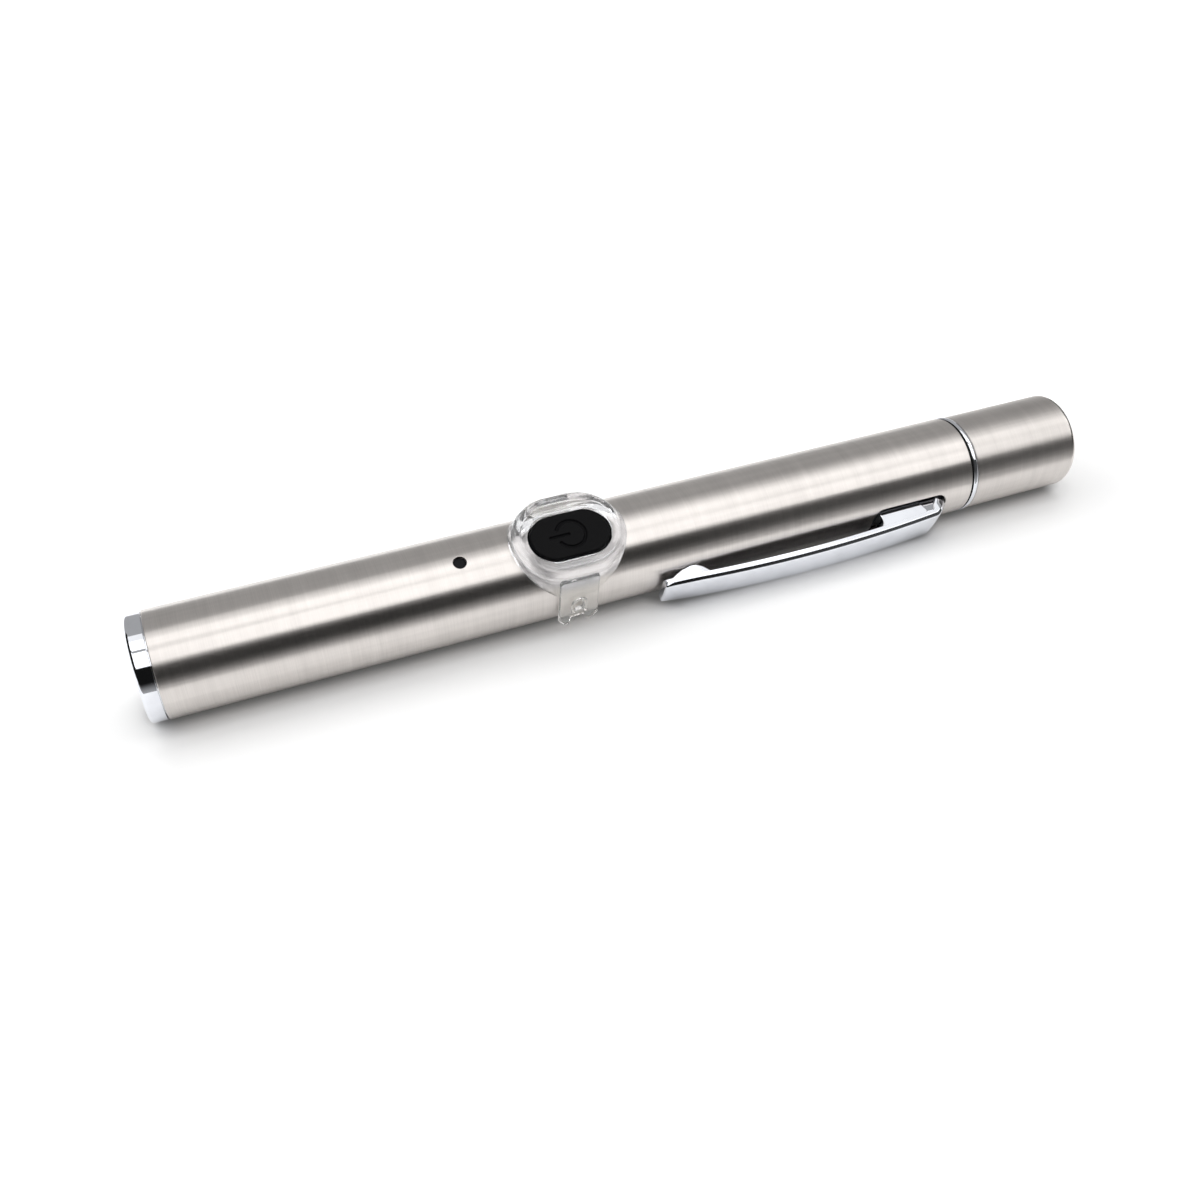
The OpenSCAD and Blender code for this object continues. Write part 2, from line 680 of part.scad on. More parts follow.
module button_guard() {
    opening_len = button_len + 2 * lip_gap;
    opening_w = button_w + 2 * lip_gap;
    dish = 1.9 * rim_r;
    as_it_lies() color([0.86, 0.88, 0.9, 0.55]) difference() {
        union() {
            oval_prism(guard_x, guard_len, guard_w, 0, guard_top - rim_r);
            guard_rim();
            // The saddle flange that follows the barrel
            intersection() {
                rod(guard_x - guard_len, guard_x + guard_len, barrel_r + saddle_gap + saddle_t);
                oval_prism(guard_x, guard_len + 2 * saddle_reach, guard_w + 2 * saddle_reach,
                    0, barrel_r + 1);
            }
            // The tabs hang from the skirt, kept inside the rim's outline above the barrel
            side_tab();
            mirror([0, 1, 0]) side_tab();
        }
        rod(guard_x - guard_len, guard_x + guard_len, barrel_r + saddle_gap);
        oval_prism(button_x, opening_len, opening_w, 0, guard_top + 1);
        // The dished slope from the rim down to the lip
        hull() {
            oval_prism(button_x, opening_len, opening_w, lip_z, lip_z + 0.01);
            oval_prism(guard_x, guard_len - 2 * dish, guard_w - 2 * dish,
                guard_top, guard_top + 0.01);
        }
        // Nothing of the skirt reaches below the barrel's widest line
        difference() {
            block([guard_x - guard_len, -guard_w, -barrel_r],
                [guard_x + guard_len, guard_w, barrel_r * 0.3]);
            side_tab();
            mirror([0, 1, 0]) side_tab();
        }
    }
}

// Pocket clip and its anchor
// A point of the clip: distance from its tip, and height over the barrel
function clip_at(s, h) = [clip_tip_x + s, -(barrel_r + h)];

// The strip's solid form with its rounded long edges, before its inner side is cut away
module clip_blank() {
    nose_r = slot_r;
    hull() {
        for (s = clip_stations, side = [-1, 1])
            translate([clip_tip_x + s, -(barrel_r + clip_height(s) - clip_edge_r),
                side * (clip_half(s) - clip_edge_r)])
                sphere(r = clip_edge_r, $fn = 24);
        // The end turns down into the slot with round corners
        for (side = [-1, 1])
            translate([clip_tip_x + nose_s - nose_r, foot_in - barrel_r,
                side * (clip_half(nose_s) - nose_r)]) rotate([90, 0, 0])
                cylinder(h = foot_in + 0.3, r = nose_r, $fn = 32);
        // The straight sides at the tip
        translate([clip_tip_x + 0.1, 1 - barrel_r - clip_rise, -clip_half(0) + clip_edge_r])
            cube([0.1, 0.1, 2 * (clip_half(0) - clip_edge_r)]);
    }
}

// The strip's outline from the side: its bowed inner face, then the end tab's inner face
module strip_side() {
    polygon(concat(
        [clip_at(-1, clip_height(0) - clip_strip_t)],
        [for (s = clip_stations) clip_at(s, clip_height(s) - clip_strip_t)],
        [clip_at(nose_s - 2.5, -0.05), clip_at(nose_s - 1.7, -foot_in),
            clip_at(nose_s + 1, -foot_in), clip_at(nose_s + 1, 3 * clip_rise),
            clip_at(-1, 3 * clip_rise)]));
}

// The bump and the root from the side
bump_top = -0.6;
function pad_floor(s) = clip_height(s) - clip_strip_t + 0.05;
module bump_side() {
    polygon(concat([clip_at(0.35, pad_floor(0.35))],
        [for (p = arc([bump_x, bump_top + bump_r], bump_r, 215, 325, 10)) clip_at(p[0], p[1])],
        [clip_at(bump_x + 2.1, 1), clip_at(bump_x + 2.7, pad_floor(bump_x + 2.7))]));
}
module root_side() {
    polygon([clip_at(root_s - 1.2, pad_floor(root_s - 1.2)), clip_at(root_s - 0.4, 1.2),
        clip_at(root_s, 0.7), clip_at(root_s + 0.1, 0), clip_at(root_s, -foot_in),
        clip_at(nose_s - 4.2, -foot_in), clip_at(nose_s - 4, 0), clip_at(nose_s - 3.7, 0.6),
        clip_at(nose_s - 4.2, pad_floor(nose_s - 4.2))]);
}

// The clip's outline from outside, less the inset of its bump and root
module pad_plan() {
    polygon([for (q = [[0, -1], [bump_x, -1], [nose_s, -1], [nose_s, 1], [bump_x, 1], [0, 1]])
        [clip_tip_x + q[0], q[1] * (clip_half(q[0]) - clip_inset)]]);
}

module pocket_clip() {
    as_it_lies() color("#dfe2e6") {
        intersection() {
            clip_blank();
            translate([0, 0, -clip_root_w]) linear_extrude(2 * clip_root_w) strip_side();
        }
        difference() {
            intersection() {
                translate([0, 0, -clip_root_w]) linear_extrude(2 * clip_root_w) {
                    bump_side();
                    root_side();
                }
                translate([0, foot_in, 0]) rotate([90, 0, 0])
                    linear_extrude(barrel_r + clip_rise + foot_in) pad_plan();
            }
            rod(clip_tip_x - 1, slot_x - 0.01, barrel_r + clip_rest_gap);
        }
        // The end tab runs down through the slot to the round heel
        translate([0, 0, -heel_half]) linear_extrude(2 * heel_half) polygon([
            clip_at(nose_s - clip_strip_t - 0.6, 0), clip_at(nose_s - 0.05, 0),
            [clip_nose_x, -(bore_r - 0.45)], [heel_x, heel_y - heel_r], [heel_x, heel_y],
            [heel_x - 0.9 * heel_r, heel_y - 0.4 * heel_r], clip_at(nose_s - 1.1, -1.2)]);
        translate([heel_x, heel_y, -heel_half]) cylinder(h = 2 * heel_half, r = heel_r);
    }
}

module clip_anchor() {
    shelf_y = -(barrel_r - foot_in - 0.4);
    anchor_half = slot_half + 2 * heel_r - 0.4;
    as_it_lies() color("#4a4d52") difference() {
        intersection() {
            rod(anchor_x, heel_x + heel_r + 0.6, bore_r - 0.08);
            block([anchor_x, -barrel_r, -anchor_half],
                [heel_x + 5 * heel_r, heel_y + heel_r + 0.5, anchor_half]);
        }
        block([anchor_x - 1, -barrel_r, -slot_half - 0.1],
            [slot_end_x + 0.15, shelf_y, slot_half + 0.1]);
        block([slot_end_x, -barrel_r, -heel_half - 0.1],
            [heel_x + heel_r + heel_gap, heel_y, heel_half + 0.1]);
        translate([heel_x, heel_y, -heel_half - 0.1])
            cylinder(h = 2 * heel_half + 0.2, r = heel_r + heel_gap);
    }
}

// Battery
module battery_cell() {
    as_it_lies() color("#c9ccd0") {
        rod(cell_x, cell_end_x - nub_h, cell_r);
        rod(cell_end_x - nub_h - 0.1, cell_end_x, nub_d / 2);
    }
}

module battery_wrap() {
    as_it_lies() color("#2f6db5") sleeve(cell_x, cell_end_x - nub_h, wrap_r, cell_r);
}

module battery_insulators() {
    as_it_lies() color("#e6e2cf") {
        sleeve(cell_end_x - nub_h, cell_end_x - nub_h + 0.2, cell_r - 0.1, nub_d / 2 + 0.1);
        sleeve(cell_x - 0.1, cell_x, cell_r - 0.1, nub_d / 2 + 0.1);
    }
}

module battery_tabs() {
    as_it_lies() color("#cfd0cc") {
        block([cell_end_x, -tab_strip_w / 2, 1 - tab_strip_w],
            [cell_end_x + tab_strip_t, tab_strip_w / 2, board_z + 2]);
        block([cell_x - tab_strip_t, -tab_strip_w / 2, -1],
            [cell_x - 0.1, tab_strip_w / 2, board_z + 2]);
    }
}

// Wires: the lamp pair in front of the button, the battery pair over the cell
cell_wire_r = (wrap_r + bore_r) / 2;
cell_wire_z = sqrt(pow(cell_wire_r, 2) - pow(cell_wire_y, 2));
board_wire_z = board_top + wire_r;
function lamp_route(y) = [[web_x, y, lamp_wire_z], [web_x + 3, y, lamp_wire_z],
    [web_x + 6, y, lamp_wire_z + 0.2], [board_x - 6, y, board_wire_z + 0.8],
    [board_x - 3, y, board_wire_z + 0.7], [board_x - 1, y, board_wire_z + 0.3],
    [board_x + 0.4, y, board_wire_z], [board_x + 1.6, y, board_wire_z]];
function cell_route(side) = [[board_end_x - 3, side * cell_wire_y, board_wire_z],
    [board_end_x - 1.8, side * cell_wire_y, board_wire_z + 0.1],
    [board_end_x - 0.6, side * cell_wire_y, board_wire_z + 0.8],
    [board_end_x + 0.4, side * cell_wire_y, cell_wire_z - 0.6],
    [cell_x - 0.1, side * cell_wire_y, cell_wire_z - 0.1],
    [cell_x + 2, side * cell_wire_y, cell_wire_z],
    [cell_x + cell_len / 2, side * cell_wire_y, cell_wire_z],
    [cell_end_x - 1, side * cell_wire_y, cell_wire_z],
    [cell_end_x + 1, side * cell_wire_y, cell_wire_z - 0.3],
    [charge_x - 0.3, side * (charge_t / 2 + wire_r + 0.4), charge_w / 2 - 0.1],
    [charge_x + 1.5, side * (charge_t / 2 + wire_r + 0.05), charge_w / 2 - 0.8],
    [charge_x + 3, side * (charge_t / 2 + wire_r + 0.02), charge_w / 2 - 0.9]];

module wires_red() {
    as_it_lies() color("#b3261e") {
        wire(lamp_route(lamp_wire_y), wire_r);
        wire(cell_route(1), wire_r);
    }
}

module wires_black() {
    as_it_lies() color("#1b1b1b") {
        wire(lamp_route(-lamp_wire_y), wire_r);
        wire(cell_route(-1), wire_r);
    }
}

// Plug, charging board and collar
module charge_board() {
    as_it_lies() color("#1f6b3a") block([charge_x, -charge_t / 2, -charge_w / 2],
        [plug_tail_x, charge_t / 2, charge_w / 2]);
}

module charge_chips() {
    as_it_lies() color("#26282b") {
        block([charge_x + 4, charge_t / 2, -3.2], [charge_x + 8, charge_t / 2 + 1.3, 0.7]);
        block([charge_x + 4.5, -charge_t / 2 - 1.1, -2.2],
            [charge_x + 7, -charge_t / 2, 0.3]);
        block([charge_x + 1, charge_t / 2, -3], [charge_x + 2.6, charge_t / 2 + 0.6, -2.2]);
    }
}

module plug_holder() {
    as_it_lies() color("#202224") difference() {
        union() {
            rod(plug_holder_x, barrel_len, spigot_r);
            rod(barrel_len - 0.1, seam_x, spigot_r - 0.25);
        }
        plug_prism(plug_holder_x - 1, barrel_len - 0.4, plug_w + 2 * seat_gap,
            plug_h + 2 * seat_gap, plug_r + seat_gap);
        block([barrel_len - 0.4, -plug_h / 2 - seat_gap, -barrel_r],
            [seam_x + 1, plug_h / 2 + seat_gap, barrel_r]);
    }
}

module collar_ring() {
    bulge = collar_w / 2;
    as_it_lies() color("#e3e5e8") turned(concat(
        [[barrel_len, spigot_r - 0.15], [barrel_len, collar_r - bulge]],
        arc([barrel_len + bulge, collar_r - bulge], bulge, 180, 0, 12),
        [[seam_x, spigot_r - 0.15]]));
}

module usb_shell() {
    as_it_lies() color("#d5d7da") difference() {
        plug_prism(plug_tail_x, plug_tip_x, plug_w, plug_h, plug_r);
        plug_prism(plug_tail_x - 1, plug_tip_x + 1, plug_w - 2 * plug_wall,
            plug_h - 2 * plug_wall, plug_inner_r);
        // Four latch windows, two on each broad face
        for (i = [-1, 1]) translate([plug_tip_x - latch_back, 0, i * latch_off])
            cube([latch_side, plug_h + 2, latch_side], center = true);
    }
}

// Inner faces of the plug's shell, less a seating gap
tongue_half = plug_w / 2 - plug_wall - seat_gap;
tongue_low = -(plug_h / 2 - plug_wall - seat_gap);
plug_inner_r = plug_r - plug_wall / 2;
module usb_tongue() {
    as_it_lies() color("#f4f4f4") intersection() {
        plug_prism(plug_tail_x, plug_tip_x - tongue_back, 2 * tongue_half, -2 * tongue_low,
            plug_inner_r - seat_gap / 2);
        union() {
            block([barrel_len - 1, tongue_low, -tongue_half],
                [plug_tip_x, tongue_low + tongue_t, tongue_half]);
            block([plug_tail_x, tongue_low, -tongue_half],
                [barrel_len, -tongue_low, tongue_half]);
        }
    }
}

module usb_contacts() {
    contact_y = tongue_low + tongue_t;
    as_it_lies() color("#d9b44a") for (i = [-1, 1]) {
        block([plug_tip_x - contact_back, contact_y, i * contact_outer - contact_w / 2],
            [plug_tip_x - contact_front, contact_y + contact_t,
                i * contact_outer + contact_w / 2]);
        block([plug_tip_x - contact_back, contact_y, i * contact_inner - contact_w / 2],
            [plug_tip_x - contact_front - contact_step, contact_y + contact_t,
                i * contact_inner + contact_w / 2]);
    }
}

// Cap
module cap_shell() {
    inner_edge = max(cap_edge_r - cap_wall, 0.2);
    mouth = 0.15;
    as_it_lies() color("#b9b5b0") turned(concat(
        [[seam_x + mouth, cap_r], [cap_end_x - cap_edge_r, cap_r]],
        arc([cap_end_x - cap_edge_r, cap_r - cap_edge_r], cap_edge_r, 90, 0, 10),
        [[cap_end_x, 0], [cap_end_x - cap_wall, 0]],
        arc([cap_end_x - cap_wall - inner_edge, cap_bore_r - inner_edge], inner_edge, 0, 90, 8),
        [[seam_x, cap_bore_r], [seam_x, cap_r - mouth]]));
}

module cap_liner() {
    liner_r = cap_bore_r - seat_gap;
    liner_end = cap_end_x - cap_wall - seat_gap;
    inner_edge = max(cap_edge_r - cap_wall, 0.2);
    as_it_lies() color("#2a2c2f") difference() {
        union() {
            rod(seam_x + 0.6, liner_end - inner_edge, liner_r);
            rod(liner_end - inner_edge - 0.1, liner_end, liner_r - inner_edge);
        }
        block([seam_x, -plug_h / 2 - liner_gap, -barrel_r],
            [plug_tip_x + liner_space, plug_h / 2 + liner_gap, barrel_r]);
    }
}

barrel_tube();
head_ring();
lens();
lens_gasket();
reflector();
led_package();
led_dome();
led_board();
led_holder();
chassis();
control_board();
board_chips();
indicator_led();
light_pipe();
switch_body();
switch_plunger();
button_cap();
button_guard();
pocket_clip();
clip_anchor();
battery_cell();
battery_wrap();
battery_insulators();
battery_tabs();
wires_red();
wires_black();
charge_board();
charge_chips();
plug_holder();
collar_ring();
usb_shell();
usb_tongue();
usb_contacts();
cap_shell();
cap_liner();
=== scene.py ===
"""Dressed model of a rechargeable penlight that lies on its pocket clip.

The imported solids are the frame. The outer pieces are rebuilt here with finer meshes, and every
solid that stays gets its own finish. Lengths in the classes are millimetres in the pen's own
frame: x runs from the lamp end to the cap, z points out of the push button, and the pocket clip
is towards -y. The pen lies rolled about x. A piece's own third axis runs along the pen, and its
other two are the frame's second and third.
"""

from __future__ import annotations

import logging
import math
from dataclasses import dataclass, replace
from enum import Enum
from functools import cached_property
from typing import Any, Callable, ClassVar, Sequence

import bpy
from mathutils import Matrix, Vector
from mathutils.geometry import delaunay_2d_cdt

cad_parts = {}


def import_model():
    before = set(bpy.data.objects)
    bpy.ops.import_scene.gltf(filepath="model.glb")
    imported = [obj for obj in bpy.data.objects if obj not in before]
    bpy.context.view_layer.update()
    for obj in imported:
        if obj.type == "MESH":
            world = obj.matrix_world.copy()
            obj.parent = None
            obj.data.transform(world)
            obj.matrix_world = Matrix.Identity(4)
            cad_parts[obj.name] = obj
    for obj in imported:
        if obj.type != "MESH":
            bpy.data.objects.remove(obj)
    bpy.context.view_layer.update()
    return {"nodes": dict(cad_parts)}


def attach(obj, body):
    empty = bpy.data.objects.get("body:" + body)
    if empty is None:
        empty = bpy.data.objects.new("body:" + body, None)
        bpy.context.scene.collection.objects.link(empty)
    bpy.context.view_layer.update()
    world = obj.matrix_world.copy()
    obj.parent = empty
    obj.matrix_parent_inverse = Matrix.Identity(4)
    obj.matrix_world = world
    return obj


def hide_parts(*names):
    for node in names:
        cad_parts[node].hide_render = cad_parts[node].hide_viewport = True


LOG = logging.getLogger("penlight")
MM = 0.001
LIE_ROLL = math.radians(29.0398)
ROLL_COS, ROLL_SIN = math.cos(LIE_ROLL), math.sin(LIE_ROLL)

Pair = tuple[float, float]
Triple = tuple[float, float, float]
Place = Callable[[float, float, float], Vector]
Height = Callable[[float, float], float]

# Takes a piece's own axes to the frame's.
LYING = Matrix(((0, 0, 1, 0), (1, 0, 0, 0), (0, 1, 0, 0), (0, 0, 0, 1)))


# ---------------------------------------------------------------- places in the pen's frame


def own(x: float, y: float, z: float) -> Vector:
    """A point of the pen, in millimetres, in a piece's own axes and in metres."""
    return Vector((y * ROLL_COS - z * ROLL_SIN, y * ROLL_SIN + z * ROLL_COS, x)) * MM


def own_way(x: float, y: float, z: float) -> Vector:
    """A direction of the pen in a piece's own axes, at length one."""
    return own(x, y, z).normalized()


def about(x: float, angle: float, radius: float) -> Vector:
    """A point at an angle about the pen's axis, counted from the button towards +y."""
    return own(x, radius * math.sin(angle), radius * math.cos(angle))


def about_way(angle: float) -> Vector:
    """The direction away from the pen's axis at an angle about it."""
    return own_way(0, math.sin(angle), math.cos(angle))


def eased(share: float) -> float:
    """A smooth step from 0 at 0 to 1 at 1."""
    held = min(max(share, 0.0), 1.0)
    return held * held * (3 - 2 * held)


def linked(name: str, data: bpy.types.ID) -> bpy.types.Object:
    """Makes an object and puts it in the scene.

    Args:
        name: The object's name.
        data: The mesh, lamp or camera.

    Returns:
        The object.
    """
    made = bpy.data.objects.new(name, data)
    bpy.context.scene.collection.objects.link(made)
    return made


# ---------------------------------------------------------------- shader graph


class Value:
    """A node's output socket, on which plain arithmetic adds Math nodes."""

    def __init__(self, graph: Graph, socket: bpy.types.NodeSocket) -> None:
        """Keeps an output socket and the graph that holds its node."""
        self.graph = graph
        self.socket = socket

    def __add__(self, other: Any) -> Value:
        """This value plus another."""
        return self.graph.value("ADD", self, other)

    def __radd__(self, other: Any) -> Value:
        """A number plus this value."""
        return self.graph.value("ADD", other, self)

    def __sub__(self, other: Any) -> Value:
        """This value less another."""
        return self.graph.value("SUBTRACT", self, other)

    def __rsub__(self, other: Any) -> Value:
        """A number less this value."""
        return self.graph.value("SUBTRACT", other, self)

    def __mul__(self, other: Any) -> Value:
        """This value times another."""
        return self.graph.value("MULTIPLY", self, other)

    def __rmul__(self, other: Any) -> Value:
        """A number times this value."""
        return self.graph.value("MULTIPLY", other, self)

    def limit(self) -> Value:
        """This value held between 0 and 1."""
        return self.graph.value("MINIMUM", self.graph.value("MAXIMUM", self, 0.0), 1.0)


class Graph:
    """The node tree of one material or world."""

    def __init__(self, owner: bpy.types.ID) -> None:
        """Empties the owner's node tree.

        Args:
            owner: The material or world.
        """
        owner.use_nodes = True
        self.tree = owner.node_tree
        self.tree.nodes.clear()

    @staticmethod
    def _socket(sockets: Any, key: int | str) -> bpy.types.NodeSocket:
        """A socket by its number, identifier or name."""
        named = [socket for socket in sockets if socket.identifier == key]
        return named[0] if named else sockets[key]

    def node(self, kind: str, settings: dict[str, Any] | None = None,
             inputs: dict[int | str, Any] | None = None) -> bpy.types.Node:
        """Adds a node, sets it up, then fills or links its input sockets.

        Args:
            kind: The node's type.
            settings: The node's own settings.
            inputs: Numbers, colours or Values by socket.

        Returns:
            The node.
        """
        node = self.tree.nodes.new(kind)
        for name, value in (settings or {}).items():
            setattr(node, name, value)
        for key, value in (inputs or {}).items():
            target = self._socket(node.inputs, key)
            if isinstance(value, Value):
                self.tree.links.new(value.socket, target)
            elif target.type == "RGBA":
                target.default_value = (*value, 1.0)
            else:
                target.default_value = value
        return node

    def read(self, kind: str, output: int | str, settings: dict[str, Any] | None = None,
             inputs: dict[int | str, Any] | None = None) -> Value:
        """Adds a node, as node() does, and gives one of its outputs."""
        return Value(self, self._socket(self.node(kind, settings, inputs).outputs, output))

    def place(self, stretch: Triple = (1, 1, 1)) -> Value:
        """The place on the piece in its own axes, stretched along each of them."""
        seat = self.read("ShaderNodeTexCoord", "Object")
        return self.vector("MULTIPLY", "Vector", seat, stretch)

    def ray(self, *kinds: str) -> Value:
        """1 for the given kinds of ray, such as "Is Camera Ray", and 0 for any other."""
        return sum((self.read("ShaderNodeLightPath", kind) for kind in kinds), 0.0).limit()

    def value(self, operation: str, *terms: Any) -> Value:
        """Adds a Math node on the given terms."""
        return self.read("ShaderNodeMath", 0, {"operation": operation}, dict(enumerate(terms)))

    def vector(self, operation: str, output: str, *terms: Any) -> Value:
        """Adds a Vector Math node on the given terms and gives one of its outputs."""
        return self.read("ShaderNodeVectorMath", output, {"operation": operation},
                         dict(enumerate(terms)))

    def split(self, vector: Value) -> tuple[Value, Value, Value]:
        """The three parts of a vector."""
        node = self.node("ShaderNodeSeparateXYZ", None, {0: vector})
        return tuple(Value(self, node.outputs[i]) for i in range(3))

    def noise(self, place: Value, scale: float, detail: float = 2.0, rough: float = 0.5) -> Value:
        """Smooth noise from 0 to 1 at a place, with finer octaves as rough as asked for."""
        return self.read("ShaderNodeTexNoise", 0, {"noise_dimensions": "3D"}, {
            "Vector": place, "Scale": scale, "Detail": detail, "Roughness": rough})

    def step(self, value: Value, low: float, high: float) -> Value:
        """A smooth step from 0 at low to 1 at high."""
        sockets = {"Value": value, "From Min": low, "From Max": high}
        return self.read("ShaderNodeMapRange", 0, {"interpolation_type": "SMOOTHSTEP"}, sockets)

    def hill(self, value: Value, rise: Pair, fall: Pair) -> Value:
        """0, then a smooth rise to 1, and a smooth fall back to 0."""
        return self.step(value, *rise) * (1.0 - self.step(value, *fall))

    def mix(self, share: Value, first: Any, second: Any) -> Value:
        """A colour between two colours."""
        sockets = {"Factor_Float": share, "A_Color": first, "B_Color": second}
        return self.read("ShaderNodeMix", "Result_Color", {"data_type": "RGBA"}, sockets)

    def bump(self, height: Value, depth_mm: float, strength: float) -> Value:
        """A bumped normal, where a height of 1 stands for a depth in millimetres."""
        return self.read("ShaderNodeBump", 0, None, {
            "Height": height, "Distance": depth_mm * MM, "Strength": strength})

    def output(self, kind: str, shader: str, sockets: dict[str, Any]) -> None:
        """Links one shader to the output of a "Material" or a "World"."""
        surface = self.read(shader, 0, None, sockets)
        self.node("ShaderNodeOutput" + kind, None, {"Surface": surface})

    def principled(self, sockets: dict[str, Any]) -> None:
        """Ends a material with a Principled shader."""
        self.output("Material", "ShaderNodeBsdfPrincipled", sockets)


# ---------------------------------------------------------------- finishes


@dataclass(frozen=True)
class Finish:
    """A surface finish, which makes its material once."""

    made: ClassVar[dict[str, bpy.types.Material]] = {}

    name: str
    colour: Triple

    def shade(self, graph: Graph) -> None:
        """Builds the finish's nodes.

        Args:
            graph: The material's node tree.
        """
        raise NotImplementedError

    def tone(self, share: float) -> Triple:
        """The colour made darker or lighter."""
        return tuple(min(1.0, share * part) for part in self.colour)

    def material(self) -> bpy.types.Material:
        """The finish's material, made when it is first asked for.

        Returns:
            The material.
        """
        if self.name not in self.made:
            self.made[self.name] = bpy.data.materials.new(self.name)
            self.shade(Graph(self.made[self.name]))
        return self.made[self.name]


@dataclass(frozen=True)
class BrushedSteel(Finish):
    """Steel with fine brushing round the pen, which smears reflections along it."""

    roughness: float = 0.33
    line_mm: float = 0.11
    streak_mm: float = 0.011
    anisotropy: float = 0.8
    turn: float = 0.25
    smooth_from: float = 1.0
    smooth: float = 0.12

    def shade(self, graph: Graph) -> None:
        """Brush lines, soft clouds and long streaks, and a smooth edge from one station on.

        Args:
            graph: The material's node tree.
        """
        along = 1.0 / (self.line_mm * MM)
        lines = graph.noise(graph.place((along * 0.02, along * 0.02, along)), 1.0, 3.0, 0.6)
        broad = graph.noise(graph.place((60, 60, 700)), 1.0)
        clouds = graph.noise(graph.place((110, 110, 40)), 1.0)
        streaks = graph.noise(graph.place((1250, 1250, 20)), 1.0)
        tone = (0.45 * lines + 0.35 * broad + 0.35 * streaks - 0.575) * 2.2 + 0.58
        gloss = self.roughness + (lines - 0.5) * 0.10 + (clouds - 0.5) * 0.06
        station = graph.split(graph.place())[2]
        edge = graph.step(station, self.smooth_from, self.smooth_from + 0.0003)
        graph.principled({
            "Base Color": graph.mix(tone.limit(), self.tone(0.84), self.tone(1.08)),
            "Metallic": 1.0, "Roughness": gloss + edge * (self.smooth - gloss),
            "Normal": graph.bump(0.13 * lines + streaks, self.streak_mm, 0.8),
            "Anisotropic": self.anisotropy, "Anisotropic Rotation": self.turn})


@dataclass(frozen=True)
class PolishedMetal(Finish):
    """Plated or polished metal with faint wiping marks."""

    roughness: float = 0.04
    haze: float = 0.03
    ripple_mm: float = 0.0006

    def shade(self, graph: Graph) -> None:
        """Nearly even plating, whose gloss varies in soft patches and fine wipes.

        Args:
            graph: The material's node tree.
        """
        patches = graph.noise(graph.place(), 320.0, 3.0)
        wipes = graph.noise(graph.place((900, 5000, 700)), 1.0, 3.0, 0.6)
        gloss = self.roughness + self.haze * graph.step(patches * 0.6 + wipes * 0.4, 0.42, 0.7)
        graph.principled({
            "Base Color": graph.mix(graph.step(patches, 0.35, 0.7), self.colour, self.tone(0.94)),
            "Metallic": 1.0, "Roughness": gloss,
            "Normal": graph.bump(patches, self.ripple_mm, 0.5)})


@dataclass(frozen=True)
class ClearPlastic(Finish):
    """Clear moulded plastic or glass, paler under a height over the pen's axis."""

    roughness: float = 0.03
    ior: float = 1.46
    wave_mm: float = 0.006
    clear: float = 0.93
    pale: Triple = (0.99, 0.985, 0.97)
    pale_under: Pair = (0.004, 0.005)

    def shade(self, graph: Graph) -> None:
        """See-through body with a slightly uneven skin, faint haze and paler side tabs.

        Args:
            graph: The material's node tree.
        """
        waves = graph.noise(graph.place(), 420.0)
        fine = graph.noise(graph.place(), 3600.0)
        upwards = (-ROLL_SIN, ROLL_COS, 0.0)
        height = graph.vector("DOT_PRODUCT", "Value", graph.place(), upwards)
        body = graph.mix(waves, self.colour, self.tone(0.95))
        graph.principled({
            "Base Color": graph.mix(graph.step(height, *self.pale_under), self.pale, body),
            "Transmission Weight": self.clear, "IOR": self.ior,
            "Roughness": self.roughness + 0.03 * graph.step(fine, 0.5, 0.8),
            "Normal": graph.bump(waves, self.wave_mm, 0.6)})


@dataclass(frozen=True)
class Moulded(Finish):
    """Moulded plastic, rubber, paper or enamel with a fine grain."""

    roughness: float = 0.45
    grain_mm: float = 0.12
    relief_mm: float = 0.004
    spread: float = 0.12
    specular: float = 0.5

    def shade(self, graph: Graph) -> None:
        """An even colour broken by grain, with gloss that varies a little.

        Args:
            graph: The material's node tree.
        """
        grain = graph.noise(graph.place(), 1.0 / (self.grain_mm * MM), 3.0, 0.6)
        clouds = graph.noise(graph.place(), 260.0)
        graph.principled({
            "Base Color": graph.mix(clouds * 0.6 + grain * 0.4, self.tone(1 - self.spread),
                                    self.tone(1 + self.spread)),
            "Roughness": self.roughness + (grain - 0.5) * 0.14 + (clouds - 0.5) * 0.1,
            "Specular IOR Level": self.specular,
            "Normal": graph.bump(grain, self.relief_mm, 0.7)})


@dataclass(frozen=True)
class WornMetal(Finish):
    """Plain metal inside the pen: turned, drawn or pressed."""

    roughness: float = 0.32

    def shade(self, graph: Graph) -> None:
        """Drawing lines and soft stains.

        Args:
            graph: The material's node tree.
        """
        lines = graph.noise(graph.place((2500, 2500, 250)), 1.0, 3.0, 0.6)
        stains = graph.noise(graph.place(), 240.0, 3.0)
        graph.principled({
            "Base Color": graph.mix(graph.step(stains, 0.4, 0.75), self.colour, self.tone(0.82)),
            "Metallic": 1.0,
            "Roughness": self.roughness + (lines - 0.5) * 0.16,
            "Normal": graph.bump(lines, 0.003, 0.6)})


@dataclass(frozen=True)
class BoardEnamel(Finish):
    """Solder mask over copper tracks, which show as faint raised lines."""

    track: Triple

    def shade(self, graph: Graph) -> None:
        """Tracks along the pen in a darker enamel.

        Args:
            graph: The material's node tree.
        """
        bands = graph.noise(graph.place((1300, 900, 120)), 1.0, 1.0, 0.3)
        tracks = graph.step(bands, 0.5, 0.53)
        grain = graph.noise(graph.place(), 5000.0)
        graph.principled({
            "Base Color": graph.mix(tracks, self.colour, self.track),
            "Roughness": 0.3 + grain * 0.12,
            "Normal": graph.bump(tracks * 0.8 + grain * 0.2, 0.03, 0.7)})


